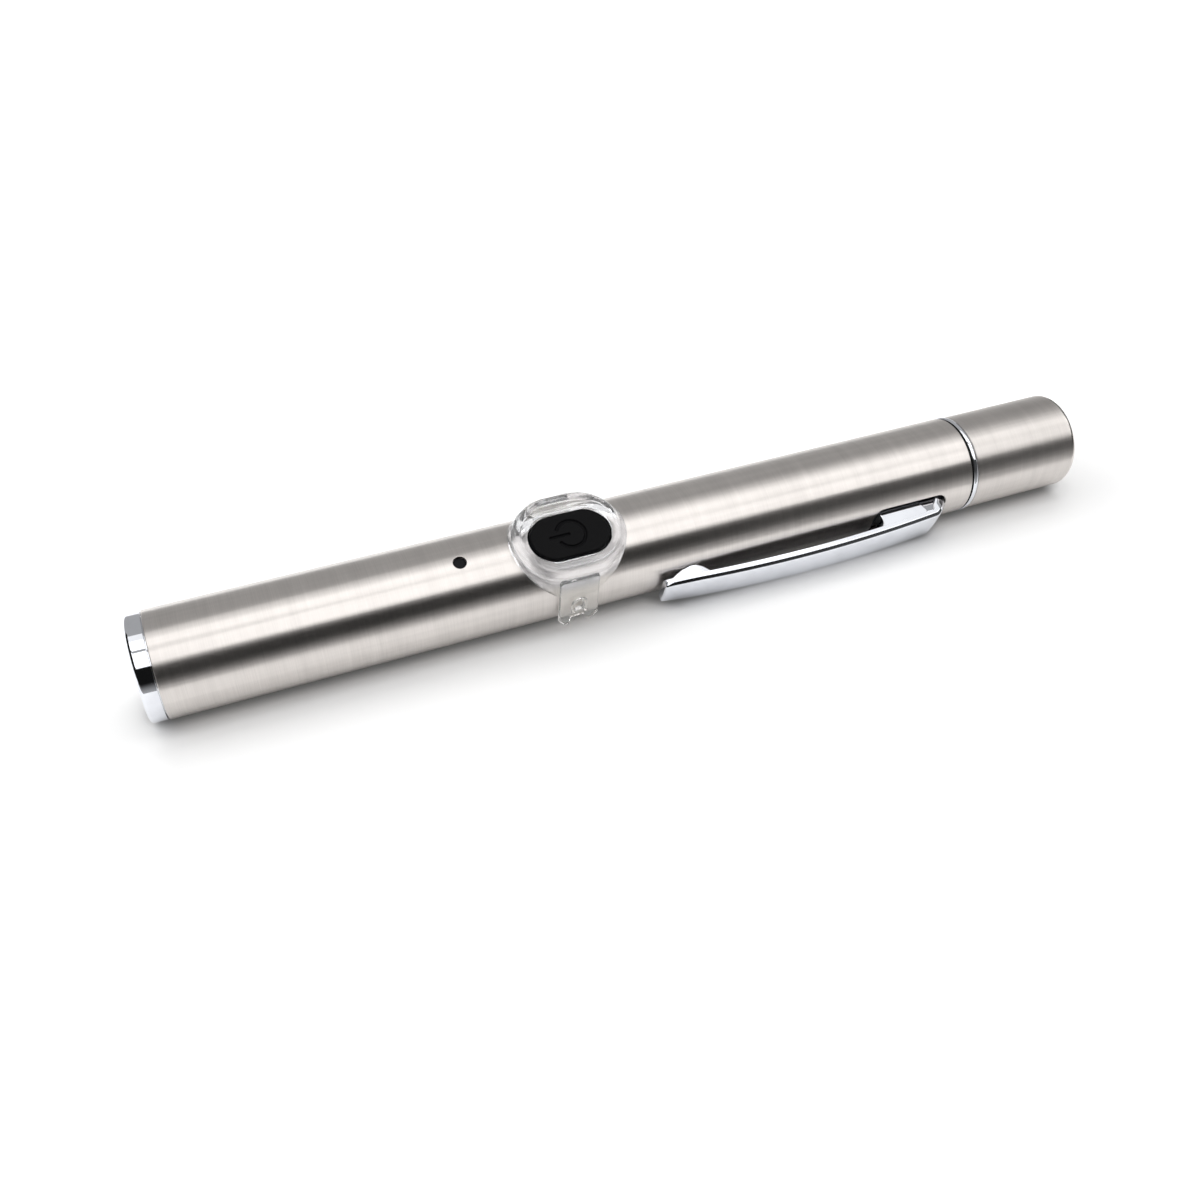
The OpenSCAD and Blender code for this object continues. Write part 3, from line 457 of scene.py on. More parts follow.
STEEL_TONE = (0.65, 0.616, 0.59)
STEEL = BrushedSteel("brushed_steel", STEEL_TONE)
CAP_STEEL = BrushedSteel("cap_steel", STEEL_TONE, 0.39, 0.12, smooth_from=0.132)
CHROME = PolishedMetal("bright_chrome", (0.755, 0.77, 0.81))
PLUG_STEEL = PolishedMetal("plug_steel", (0.72, 0.73, 0.75), 0.16, 0.1, 0.001)
MIRROR = PolishedMetal("reflector_silver", (0.92, 0.92, 0.91), 0.04, 0.02, 0.0004)
CLEAR = ClearPlastic("guard_clear", (0.9, 0.905, 0.92))
LENS = ClearPlastic("lens_clear", (0.97, 0.98, 0.99), 0.01, 1.52, 0.0, 1.0)
LAMP_TONE = (1.0, 0.93, 0.62)
BOARD_TONES = ((0.03, 0.2, 0.07), (0.02, 0.12, 0.045))
CHIP_TONE = (0.035, 0.036, 0.04)
RUBBER = Moulded("button_rubber", (0.004, 0.004, 0.0045), 0.42, 0.07, 0.003, 0.2, 0.06)

CARRIED: dict[str, Finish] = {
    "lens": LENS,
    "lens_gasket": RUBBER,
    "reflector": MIRROR,
    "led_package": Moulded("lamp_yellow", (0.86, 0.74, 0.16), 0.3, 0.05),
    "led_dome": ClearPlastic("lamp_dome", LAMP_TONE, 0.02, 1.5, 0.0, 0.95, LAMP_TONE),
    "led_board": BoardEnamel("board_white", (0.84, 0.84, 0.82), (0.7, 0.7, 0.68)),
    "led_holder": WornMetal("holder_aluminium", (0.75, 0.75, 0.74)),
    "chassis": Moulded("white_plastic", (0.83, 0.83, 0.8), 0.42),
    "control_board": BoardEnamel("board_green", *BOARD_TONES),
    "board_chips": Moulded("chip_black", CHIP_TONE, 0.5),
    "indicator_led": Moulded("indicator_white", (0.84, 0.84, 0.7), 0.3),
    "light_pipe": Moulded("light_pipe_dark", (0.006, 0.006, 0.007), 0.45, 0.3, 0.001, 0.2, 0.12),
    "switch_body": Moulded("switch_black", (0.04, 0.042, 0.046), 0.4),
    "switch_plunger": Moulded("plunger_red", (0.35, 0.05, 0.05), 0.4),
    "clip_anchor": WornMetal("anchor_steel", (0.42, 0.43, 0.45)),
    "battery_cell": WornMetal("cell_steel", (0.62, 0.63, 0.65)),
    "battery_wrap": Moulded("wrap_blue", (0.05, 0.18, 0.48), 0.28, 0.4, 0.006),
    "battery_insulators": Moulded("paper", (0.76, 0.72, 0.58), 0.8, 0.05),
    "battery_tabs": WornMetal("nickel", (0.66, 0.66, 0.63)),
    "wires_red": Moulded("wire_red", (0.52, 0.03, 0.025), 0.35),
    "wires_black": Moulded("wire_black", (0.02, 0.02, 0.021), 0.35),
    "charge_board": BoardEnamel("charge_green", *BOARD_TONES),
    "charge_chips": Moulded("charge_chip", CHIP_TONE, 0.5),
    "plug_holder": Moulded("black_plastic", (0.02, 0.021, 0.023), 0.45),
    "usb_shell": PLUG_STEEL,
    "usb_tongue": Moulded("tongue_white", (0.86, 0.86, 0.85), 0.35),
    "usb_contacts": PolishedMetal("gold", (0.83, 0.64, 0.27), 0.2, 0.08),
    "cap_liner": Moulded("liner_black", (0.02, 0.021, 0.023), 0.5),
}


# ---------------------------------------------------------------- outlines and meshes


@dataclass(frozen=True)
class Edge:
    """One straight piece of an outline: its two ends, and the normal at each."""

    start: Vector
    end: Vector
    start_way: Vector
    end_way: Vector


def filleted(corners: Sequence[Triple], closed: bool = True, steps: int = 6) -> list[Edge]:
    """Rounds an outline's corners, and keeps the exact normals of arcs and flats.

    Args:
        corners: The corners as (first, second, radius), with the inside on the left.
        closed: Whether the last corner is joined to the first.
        steps: The pieces that each rounded corner gets.

    Returns:
        The outline's pieces in order.
    """
    places = [Vector(c[:2]) for c in corners]
    count = len(places)
    turns: list[list[tuple[Vector, Vector]]] = []
    for i, here in enumerate(places):
        back = (here - places[i - 1]).normalized()
        on = (places[(i + 1) % count] - here).normalized()
        angle = math.atan2(back.cross(on), back.dot(on))
        radius = corners[i][2]
        if radius <= 0 or abs(angle) < 1e-4 or not (closed or 0 < i < count - 1):
            turns.append([(here, Vector((0, 0)))])
            continue
        side = Vector((-back.y, back.x)) * math.copysign(radius, angle)
        centre = here - back * radius * math.tan(abs(angle) / 2) + side
        spokes = [Matrix.Rotation(angle * k / steps, 2) @ -side for k in range(steps + 1)]
        turns.append([(centre + s, s.normalized() * math.copysign(1, angle)) for s in spokes])
    edges: list[Edge] = []
    for i, turn in enumerate(turns):
        edges += [Edge(a, b, n, m) for (a, n), (b, m) in zip(turn, turn[1:])]
        last, ahead = turn[-1][0], turns[(i + 1) % count][0][0]
        if (closed or i < count - 1) and (ahead - last).length > 1e-7:
            way = (ahead - last).normalized()
            normal = Vector((way.y, -way.x))
            edges.append(Edge(last, ahead, normal, normal))
    return edges


class Skin:
    """Collects points and faces with the exact normals of their corners."""

    def __init__(self) -> None:
        """Starts with nothing."""
        self.points: list[Vector] = []
        self.faces: list[tuple[int, ...]] = []
        self.ways: list[tuple[Vector, ...]] = []

    def add(self, point: Vector) -> int:
        """Adds a point and returns its number."""
        self.points.append(point)
        return len(self.points) - 1

    def face(self, corners: Sequence[int], ways: Sequence[Vector]) -> None:
        """Adds a face, turned to agree with its normals.

        Args:
            corners: The numbers of its points.
            ways: The normal at each of them.
        """
        across = Vector()
        first = self.points[corners[0]]
        for a, b in zip(corners[1:], corners[2:]):
            across += (self.points[a] - first).cross(self.points[b] - first)
        turn = -1 if across.dot(sum(ways, Vector())) < 0 else 1
        self.faces.append(tuple(corners[::turn]))
        self.ways.append(tuple(ways[::turn]))

    def bands(self, rows: Sequence[Sequence[int]], ways: Sequence[Sequence[Vector]]) -> None:
        """Joins each two rings of points that follow each other by a band of faces.

        Args:
            rows: The rings, all as long as the first.
            ways: The normals along each ring.
        """
        for k in range(1, len(rows)):
            for i in range(len(rows[k])):
                self.face((rows[k - 1][i - 1], rows[k - 1][i], rows[k][i], rows[k][i - 1]),
                          (ways[k - 1][i - 1], ways[k - 1][i], ways[k][i], ways[k][i - 1]))

    def piece(self, name: str, finish: Finish, merge_mm: float = 0.0005) -> bpy.types.Object:
        """Makes the object as it lies, with its finish and its corner normals.

        Args:
            name: The piece's name.
            finish: Its finish.
            merge_mm: Points closer than this become one.

        Returns:
            The object.
        """
        seat: dict[tuple[int, ...], int] = {}
        places: list[Vector] = []
        number: list[int] = []
        for point in self.points:
            key = tuple(round(c / (merge_mm * MM)) for c in point)
            if key not in seat:
                seat[key] = len(places)
                places.append(point)
            number.append(seat[key])
        faces, ways, seen = [], [], set()
        for face, normals in zip(self.faces, self.ways):
            corners = [number[c] for c in face]
            kept = [i for i, c in enumerate(corners) if c != corners[i - 1]]
            key = frozenset(corners[i] for i in kept)
            if len(kept) > 2 and len(key) == len(kept) and key not in seen:
                seen.add(key)
                faces.append([corners[i] for i in kept])
                ways.extend(normals[i].normalized() for i in kept)
        mesh = bpy.data.meshes.new(name)
        mesh.from_pydata(places, [], faces)
        mesh.materials.append(finish.material())
        mesh.polygons.foreach_set("use_smooth", [True] * len(faces))
        mesh.normals_split_custom_set(ways)
        mesh.update()
        made = linked(name, mesh)
        made.matrix_world = LYING
        return made


def turned(skin: Skin, outline: Sequence[Edge], sides: int = 160) -> None:
    """Turns an outline about the pen's axis.

    Args:
        skin: Where the faces go.
        outline: Pieces whose places are (station along the pen, radius).
        sides: The faces round the pen.
    """
    angles = [2 * math.pi * i / sides for i in range(sides)]
    for edge in outline:
        rows, ways = [], []
        for place, way in ((edge.start, edge.start_way), (edge.end, edge.end_way)):
            rows.append([skin.add(about(place.x, a, place.y)) for a in angles]
                        if place.y > 1e-6 else [skin.add(own(place.x, 0, 0))] * sides)
            ways.append([about(way.x, a, way.y).normalized() for a in angles])
        skin.bands(rows, ways)


@dataclass(frozen=True)
class Hole:
    """A hole with round corners, cut straight through the barrel's wall.

    It is drawn on a plane beside the axis, and facing is the angle about the axis that it faces.
    """

    middle: float
    length: float
    width: float
    corner: float
    count: int
    facing: float = 0.0

    @cached_property
    def dots(self) -> list[tuple[Vector, Vector]]:
        """The evenly spaced dots of its outline, each with its outward normal.

        Returns:
            The dots, clockwise seen from outside.
        """
        half = Vector((self.length / 2 - self.corner, self.width / 2 - self.corner))
        arc = math.pi / 2 * self.corner
        step = (4 * half.x + 4 * half.y + 4 * arc) / self.count
        found = []
        for i in range(self.count):
            left, quarter = step * i, 0
            while quarter < 3 and left >= 2 * half[quarter % 2] + arc:
                left -= 2 * half[quarter % 2] + arc
                quarter += 1
            left -= 2 * half[quarter % 2]
            turn = math.pi / 2 * (1 - quarter) - max(0.0, left) / self.corner
            way = Vector((math.cos(turn), math.sin(turn)))
            ahead = Vector((way.y, -way.x)) * min(0.0, left)
            end = Vector((self.middle + (half.x if quarter < 2 else -half.x),
                          half.y if quarter in (0, 3) else -half.y))
            found.append((end + way * self.corner + ahead, way))
        return found

    def rim(self, out: float, radius: float) -> list[Vector]:
        """The outline grown by out, at a distance from the axis, as (station, angle)."""
        return [Vector((p.x + n.x * out, self.facing + math.asin((p.y + n.y * out) / radius)))
                for p, n in self.dots]

    def inward(self) -> list[Vector]:
        """The directions from the rim's dots into the hole."""
        return [own_way(-n.x, -n.y * math.cos(self.facing), n.y * math.sin(self.facing))
                for _, n in self.dots]

    def covers(self, spot: Vector, radius: float, out: float) -> bool:
        """Whether a place lies in the hole's outline.

        Args:
            spot: The place as (station, angle about the axis).
            radius: Its distance from the pen's axis.
            out: How much the outline is grown.

        Returns:
            True inside it.
        """
        turn = (spot.y - self.facing + math.pi) % (2 * math.pi) - math.pi
        if abs(turn) > math.pi / 2 or abs(spot.x - self.middle) > self.length:
            return False
        return within(Vector((spot.x, radius * math.sin(turn))),
                      [p + n * out for p, n in self.dots])


def within(spot: Vector, loop: Sequence[Vector]) -> bool:
    """Whether a place on a plane lies inside a ring of places.

    Args:
        spot: The place.
        loop: The ring.

    Returns:
        True inside it.
    """
    inside = False
    for i, b in enumerate(loop):
        a = loop[i - 1]
        if (a.y > spot.y) != (b.y > spot.y):
            inside ^= spot.x < a.x + (spot.y - a.y) * (b.x - a.x) / (b.y - a.y)
    return inside


def triangulated(places: Sequence[Vector], loops: Sequence[Sequence[int]]) -> list[list[int]]:
    """Triangles over all places, which keep every loop's sides.

    Args:
        places: Places on a plane.
        loops: Rings of their numbers.

    Returns:
        The triangles, as numbers of the places given.
    """
    sides = [(loop[i - 1], loop[i]) for loop in loops for i in range(len(loop))]
    found = delaunay_2d_cdt(places, sides, [], 0, 1e-7)
    origin = [group[0] if group else -1 for group in found[3]]
    return [[origin[c] for c in tri] for tri in found[2] if min(origin[c] for c in tri) >= 0]


@dataclass(frozen=True)
class Level:
    """One ring of a loft: how far inside the outline it runs, and its height there."""

    inset: float
    height: Height
    sharp: bool = False


@dataclass(frozen=True)
class Stadium:
    """Matching rings between an outer and an inner round-ended outline.

    Each outline is (middle along the pen, length, width), and the inner one lies at the given
    inset from the outer one.
    """

    outer: Triple
    inner: Triple
    depth: float
    arc: int
    straight: int

    def row(self, inset: float) -> list[Pair]:
        """The dots of one ring.

        Args:
            inset: How far inside the outer outline the ring runs.

        Returns:
            The dots, in order round the button.
        """
        share = inset / self.depth
        middle, length, width = (a + (b - a) * share for a, b in zip(self.outer, self.inner))
        half, radius = (length - width) / 2, width / 2
        dots: list[Pair] = []
        for side in (1, -1):
            for k in range(self.arc + 1):
                turn = math.pi * (k / self.arc - 0.5)
                dots.append((middle + side * (half + radius * math.cos(turn)),
                             side * radius * math.sin(turn)))
            dots += [(middle + side * half * (1 - 2 * k / self.straight), side * radius)
                     for k in range(1, self.straight)]
        return dots

    def loft(self, skin: Skin, levels: Sequence[Level], closed: bool = True) -> None:
        """Adds the bands between rings, with normals worked out from the rings.

        Args:
            skin: Where the faces go.
            levels: The rings from the inner top outwards and down, so that the outside of the
                form is on the right of the way.
            closed: Whether the last ring joins the first.
        """
        rings = [[own(x, y, level.height(x, y)) for x, y in self.row(level.inset)]
                 for level in levels]
        numbers = [[skin.add(p) for p in ring] for ring in rings]

        def ways(at: int, back: int, on: int) -> list[Vector]:
            """The normals round one ring.

            Args:
                at: The ring.
                back: The ring before it along the section, or itself.
                on: The ring after it, or itself.

            Returns:
                The normals.
            """
            ring = rings[at]
            return [(rings[on][j] - rings[back][j]).cross(ring[(j + 1) % len(ring)] - ring[j - 1])
                    for j in range(len(ring))]

        for high in range(0 if closed else 1, len(rings)):
            low, above = (high - 1) % len(rings), (high + 1) % len(rings)
            first = levels[low].sharp or (not closed and low == 0)
            last = levels[high].sharp or (not closed and above == 0)
            skin.bands((numbers[low], numbers[high]),
                       (ways(low, low if first else low - 1, high),
                        ways(high, low, high if last else above)))


def bent(place: Place, at: Triple, way: Triple) -> Vector:
    """The direction of a plate's normal once the plate is bent into place.

    Args:
        place: Takes a point of the plate to the piece's own axes.
        at: The point of the plate.
        way: The normal on the plate.

    Returns:
        The normal in the piece's own axes.
    """
    step, here = 0.004, place(*at)
    a = place(at[0] + step, at[1], at[2]) - here
    b = place(at[0], at[1] + step, at[2]) - here
    c = place(at[0], at[1], at[2] + step) - here
    leant = way[0] * b.cross(c) + way[1] * c.cross(a) + way[2] * a.cross(b)
    return leant.normalized() * math.copysign(1, a.cross(b).dot(c))


def softened(edges: Sequence[Edge], limit_deg: float = 26.0) -> list[Edge]:
    """Averages the normals where two pieces of a closed outline meet almost in line.

    Args:
        edges: The outline's pieces.
        limit_deg: The largest turn that is softened.

    Returns:
        The pieces with their new normals.
    """
    out = list(edges)
    for i in range(len(out)):
        back, here = out[i - 1], out[i]
        if 0 < back.end_way.angle(here.start_way) < math.radians(limit_deg):
            way = (back.end_way + here.start_way).normalized()
            out[i - 1] = replace(back, end_way=way)
            out[i] = replace(here, start_way=way)
    return out


def rim_section(edge: float, steps: int, facet: Pair = (0.0, 0.0)) -> list[Triple]:
    """The section of a rounded rim, with a flat facet let into it where one is asked for.

    Args:
        edge: How far in from the outline the rim starts.
        steps: The pieces of its round part.
        facet: The facet's length and its tilt from the plate's face.

    Returns:
        The section's places as (inset from the outline, drop from the face, tilt).
    """
    length, tilt = facet
    radius = edge - length * math.cos(tilt)
    turns = [math.pi / 2 * k / steps for k in range(steps + 1)]
    at = round(tilt * steps / (math.pi / 2)) if length else -1
    found: list[Triple] = []
    for k, turn in enumerate(turns):
        turn = tilt if k == at else turn
        for past in (0.0, 1.0) if k == at else (float(0 <= at < k),):
            found.append((edge - radius * math.sin(turn) - past * length * math.cos(tilt),
                          radius * (1 - math.cos(turn)) + past * length * math.sin(tilt), turn))
    return found


def plate(skin: Skin, loops: Sequence[Sequence[Edge]], reach: Pair, edge: float, place: Place,
          spans: int = 1, steps: int = 4, facet: Pair = (0.0, 0.0),
          share: Height = lambda u, v: 1.0) -> None:
    """Adds a plate of any outline, with rounded rims, bent into place.

    Args:
        skin: Where the faces go.
        loops: The outline, then its holes, each with the plate on its left.
        reach: The plate's two faces, as depths.
        edge: The radius of its rims.
        place: Takes (first, second, depth) to the piece's own axes.
        spans: How many bands the straight wall gets.
        steps: How many bands each rounded rim gets.
        facet: The length and tilt of a flat facet in the rims.
        share: How much of the rim's radius is taken from the outline at a place.
    """
    low, high = reach
    rim = rim_section(edge, steps, facet)
    full = rim[-1][1]
    levels = [(inset, high - drop, tilt) for inset, drop, tilt in rim]
    levels += [(0.0, high - full + (low + 2 * full - high) * k / spans, math.pi / 2)
               for k in range(1, spans)]
    levels += [(inset, low + drop, math.pi - tilt) for inset, drop, tilt in rim[::-1]]
    places: list[Vector] = []
    rims: list[range] = []
    tops: list[int] = []
    feet: list[int] = []
    for edges in loops:
        joints = []
        for i, here in enumerate(edges):
            first, second = edges[i - 1].end_way, here.start_way
            joints.append((first + second) / max(0.3, 1 + first.dot(second))
                          * share(*here.start))
        spots = [[e.start - m * inset for e, m in zip(edges, joints)] for inset, _, _ in levels]
        numbers = [[skin.add(place(*spot, depth)) for spot in row]
                   for row, (_, depth, _) in zip(spots, levels)]
        rims.append(range(len(places), len(places) + len(edges)))
        places += spots[0]
        tops += numbers[0]
        feet += numbers[-1]
        for k in range(1, len(levels)):
            for i, here in enumerate(edges):
                on = (i + 1) % len(edges)
                quad = ((k - 1, i, here.start_way), (k - 1, on, here.end_way),
                        (k, on, here.end_way), (k, i, here.start_way))
                skin.face([numbers[row][spot] for row, spot, _ in quad],
                          [bent(place, (*spots[row][spot], levels[row][1]),
                                (*(way * math.sin(levels[row][2])), math.cos(levels[row][2])))
                           for row, spot, way in quad])
    outer, *holes = [[places[c] for c in rim] for rim in rims]
    for tri in triangulated(places, rims):  # the two faces share their triangles
        middle = sum((places[c] for c in tri), Vector((0, 0))) / 3
        if within(middle, outer) and not any(within(middle, hole) for hole in holes):
            for numbers, depth, way in ((tops, high, 1.0), (feet, low, -1.0)):
                skin.face([numbers[c] for c in tri],
                          [bent(place, (*places[c], depth), (0, 0, way)) for c in tri])


# ---------------------------------------------------------------- sub-assemblies


def fitted(piece: bpy.types.Object, body: str, slot: str, *nodes: str) -> None:
    """Makes a piece ride on a body and stand for CAD nodes, which it hides.

    Args:
        piece: The piece.
        body: The body that it moves with.
        slot: Not used.
        nodes: The CAD nodes that it replaces.
    """
    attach(piece, body)
    if nodes:
        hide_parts(*nodes)
    LOG.info("piece %s on %s, %d faces", piece.name, body, len(piece.data.polygons))


@dataclass
class Barrel:
    """The brushed barrel tube with the button's hole, the indicator's and the clip's slot."""

    radius: float = 7.0
    wall: float = 0.5
    length: float = 114.7
    seam_gap: float = 0.22
    end_round: float = 0.12
    rim_round: float = 0.07
    clearance: float = 0.16
    columns: int = 144
    rows: int = 58
    button_hole: Hole = Hole(53.7943, 11.5, 7.3, 3.65, 112)
    indicator_hole: Hole = Hole(38.7943, 1.75, 1.75, 0.875, 40)
    clip_slot: Hole = Hole(104.2, 12.2, 6.6, 1.6, 112, -math.pi / 2)

    @property
    def holes(self) -> tuple[Hole, ...]:
        """All three cut-outs."""
        return self.button_hole, self.indicator_hole, self.clip_slot

    def face(self, skin: Skin, radius: float, grow: float, side: int, ends: Pair) -> None:
        """Adds the outer or inner face of the wall, with its holes left open.

        Args:
            skin: Where the faces go.
            radius: The face's distance from the axis.
            grow: How far outside the holes' outlines the face stops.
            side: 1 for outwards, -1 for inwards.
            ends: The stations of its two ends.
        """
        spots: list[Vector] = []
        for i in range(self.columns + 1):
            for k in range(self.rows + 1):
                spot = Vector((ends[0] + (ends[1] - ends[0]) * k / self.rows,
                               math.pi * (2 * i / self.columns - 1)))
                if not any(h.covers(spot, radius, grow + self.clearance) for h in self.holes):
                    spots.append(spot)
        loops = []
        for hole in self.holes:
            loops.append(range(len(spots), len(spots) + hole.count))
            spots += hole.rim(grow, radius)
        numbers = [skin.add(about(s.x, s.y, radius)) for s in spots]
        ways = [side * about_way(s.y) for s in spots]
        for tri in triangulated([Vector((s.x, s.y * radius)) for s in spots], loops):
            middle = sum((spots[c] for c in tri), Vector((0, 0))) / 3
            if not any(h.covers(middle, radius, grow) for h in self.holes):
                skin.face([numbers[c] for c in tri], [ways[c] for c in tri])

    def rims(self, skin: Skin) -> None:
        """Adds the holes' rounded rims and their walls.

        Args:
            skin: Where the faces go.
        """
        levels = [(out, self.radius - drop, tilt)
                  for out, drop, tilt in rim_section(self.rim_round, 4)]
        levels.append((0.0, self.radius - self.wall, math.pi / 2))
        for hole in self.holes:
            rows, ways = [], []
            for out, radius, tilt in levels:
                rim = hole.rim(out, radius)
                rows.append([skin.add(about(s.x, s.y, radius)) for s in rim])
                ways.append([math.cos(tilt) * about_way(s.y) + math.sin(tilt) * way
                             for s, way in zip(rim, hole.inward())])
            skin.bands(rows, ways)

    def build(self) -> None:
        """Builds and dresses the tube."""
        skin = Skin()
        edge, inner, end = self.end_round, self.radius - self.wall, self.length - self.seam_gap
        self.face(skin, self.radius, self.rim_round, 1, (edge, end - edge))
        self.face(skin, inner, 0.0, -1, (0.0, end))
        self.rims(skin)
        for x, side in ((0.0, 1), (end, -1)):
            corners = [(x + side * edge, self.radius, 0), (x, self.radius, edge), (x, inner, 0)]
            turned(skin, filleted(corners[::side], closed=False), self.columns)
        fitted(skin.piece("barrel_shell", STEEL), "barrel", "barrel_steel", "barrel_tube")


@dataclass
class TurnedPieces:
    """The lamp ring, the collar ring and seal at the seam, and the cap's shell."""

    head_len: float = 2.2
    head_r: float = 6.95
    head_edge: float = 0.5
    head_gap: float = 0.1
    aperture: float = 5.1
    lens_seat: float = 5.75
    lip: float = 0.8
    spigot: float = 6.45
    spigot_len: float = 4.0
    barrel_len: float = 114.7
    collar_r: float = 7.05
    collar_bore: float = 6.3
    collar_round: float = 0.414
    seal_r: float = 6.94
    seal_ends: Pair = (114.5, 114.82)
    seam: float = 115.6
    cap_gap: float = 0.04
    cap_end: float = 132.95
    cap_r: float = 6.9
    cap_wall: float = 0.4
    cap_edge: float = 0.8

    def piece(self, name: str, corners: Sequence[Triple], steps: int, finish: Finish,
              *ride: str) -> None:
        """Turns one piece and dresses it.

        Args:
            name: The piece's name.
            corners: Its outline as (station, radius, rounding).
            steps: The pieces that each rounded corner gets.
            finish: Its finish.
            ride: Its body, its slot and the CAD nodes that it replaces.
        """
        skin = Skin()
        turned(skin, filleted(corners, steps=steps))
        fitted(skin.piece(name, finish), *ride)

    def build(self) -> None:
        """Builds the four pieces."""
        front, lip = -self.head_len, self.lip - self.head_len
        self.piece("lamp_ring", [
            (self.spigot_len, self.lens_seat, 0), (self.spigot_len, self.spigot, 0.1),
            (-self.head_gap, self.spigot, 0), (-self.head_gap, self.head_r, 0.09),
            (front, self.head_r, self.head_edge), (front, self.aperture, 0.18),
            (lip, self.aperture, 0.08), (lip, self.lens_seat, 0)],
            8, CHROME, "barrel", "chrome", "head_ring")
        self.piece("seam_ring", [
            (self.seam, self.collar_bore, 0), (self.seam, self.collar_r, self.collar_round),
            (self.barrel_len, self.collar_r, self.collar_round),
            (self.barrel_len, self.collar_bore, 0)],
            10, CHROME, "barrel", "chrome", "collar_ring")
        first, last = self.seal_ends
        self.piece("seam_seal", [
            (last, self.spigot, 0), (last, self.seal_r, 0.04),
            (first, self.seal_r, 0.08), (first, self.spigot, 0)],
            5, RUBBER, "barrel", "black_rubber")
        mouth, inner, end = self.seam + self.cap_gap, self.cap_r - self.cap_wall, self.cap_end
        self.piece("cap_sleeve", [
            (end - self.cap_wall, inner, 0.6), (end - self.cap_wall, 0, 0), (end, 0, 0),
            (end, self.cap_r, self.cap_edge), (mouth, self.cap_r, 0.15), (mouth, inner, 0)],
            10, CAP_STEEL, "cap", "barrel_steel", "cap_shell")


@dataclass
class Button:
    """The black button with its crowned top, sunk power sign and hidden flange."""

    centre: float = 53.7943
    length: float = 11.0
    width: float = 6.8
    top: float = 7.45
    edge: float = 0.45
    crown: float = 0.07
    flange_r: float = 6.43
    flange_t: float = 0.68
    reach: float = 1.0
    foot: float = 3.9
    sign_shift: float = 0.1
    sign_r: float = 1.95
    sign_open_deg: float = 30.0
    bar: Pair = (-2.8, -0.3)
    groove: float = 0.26
    groove_floor: float = 0.06
    groove_depth: float = 0.24
    grid: float = 0.095

    def rise(self, x: float, y: float) -> float:
        """The height of the top face over a place, with the sign's grooves.

        Args:
            x: The place along the pen, from the button's middle.
            y: The place across it.

        Returns:
            The height over the pen's axis.
        """
        flat = self.top - self.crown * ((2 * x / self.length) ** 2 + (2 * y / self.width) ** 2) / 2
        u = x - self.sign_shift
        near = math.hypot(u - min(max(u, self.bar[0]), self.bar[1]), y)
        limit = math.radians(self.sign_open_deg)
        if abs(math.atan2(y, -u)) >= limit:
            near = min(near, abs(math.hypot(u, y) - self.sign_r))
        else:
            near = min(near, math.hypot(u + self.sign_r * math.cos(limit),
                                        abs(y) - self.sign_r * math.sin(limit)))
        out = eased((near - self.groove_floor) / (self.groove - self.groove_floor))
        return flat - self.groove_depth * (1 - out)

    def tilt(self, x: float, y: float, step: float = 0.02) -> Vector:
        """The normal of the top face, from the heights a step away on each side."""
        return own_way(self.rise(x - step, y) - self.rise(x + step, y),
                       self.rise(x, y - step) - self.rise(x, y + step), 2 * step)

    def top_face(self, skin: Skin, shape: Stadium) -> None:
        """Adds the top inside the rounded edge as a fine field of small faces.

        Args:
            skin: Where the faces go.
            shape: The button's outline.
        """
        places = [Vector((x - self.centre, y)) for x, y in shape.row(self.edge)]
        loop = range(len(places))
        half_l, half_w = self.length / 2 - self.edge, self.width / 2 - self.edge
        rows, columns = int(half_w / self.grid), int(half_l / self.grid)
        for k in range(-rows, rows + 1):
            for i in range(-columns - 1, columns + 1):
                x, y = (i + 0.5 * (k % 2)) * self.grid, k * self.grid
                if math.hypot(max(0.0, abs(x) - (half_l - half_w)), y) < half_w - 0.6 * self.grid:
                    places.append(Vector((x, y)))
        numbers = [skin.add(own(self.centre + p.x, p.y, self.rise(p.x, p.y))) for p in places]
        ways = [self.tilt(p.x, p.y) for p in places]
        for tri in triangulated(places, [loop]):
            skin.face([numbers[c] for c in tri], [ways[c] for c in tri])

    def build(self) -> None:
        """Builds the button and gives it black rubber."""
        shape = Stadium((self.centre, self.length, self.width),
                        (self.centre, self.length - 1, self.width - 1), 0.5, 28, 10)
        skin = Skin()
        self.top_face(skin, shape)

        def shoulder(turn: float) -> Level:
            """A ring of the rounded edge."""
            return Level(self.edge * (1 - math.sin(turn)), lambda x, y:
                         self.rise(x - self.centre, y) - self.edge * (1 - math.cos(turn)))

        def pipe(radius: float, out: float) -> Level:
            """A sharp ring outside the outline, on a cylinder about the pen's axis."""
            return Level(-out, lambda x, y: math.sqrt(radius * radius - y * y), True)

        inner = self.flange_r - self.flange_t
        levels = [shoulder(math.pi / 16 * k) for k in range(9)]
        levels += [pipe(self.flange_r, 0), pipe(self.flange_r, self.reach),
                   pipe(inner, self.reach), pipe(inner, 0), Level(0, lambda x, y: self.foot, True)]
        shape.loft(skin, levels, closed=False)
        foot = [skin.add(own(x, y, self.foot)) for x, y in shape.row(0)]
        skin.face(foot, [own_way(0, 0, -1)] * len(foot))
        fitted(skin.piece("push_button", RUBBER), "button", "black_rubber", "button_cap")


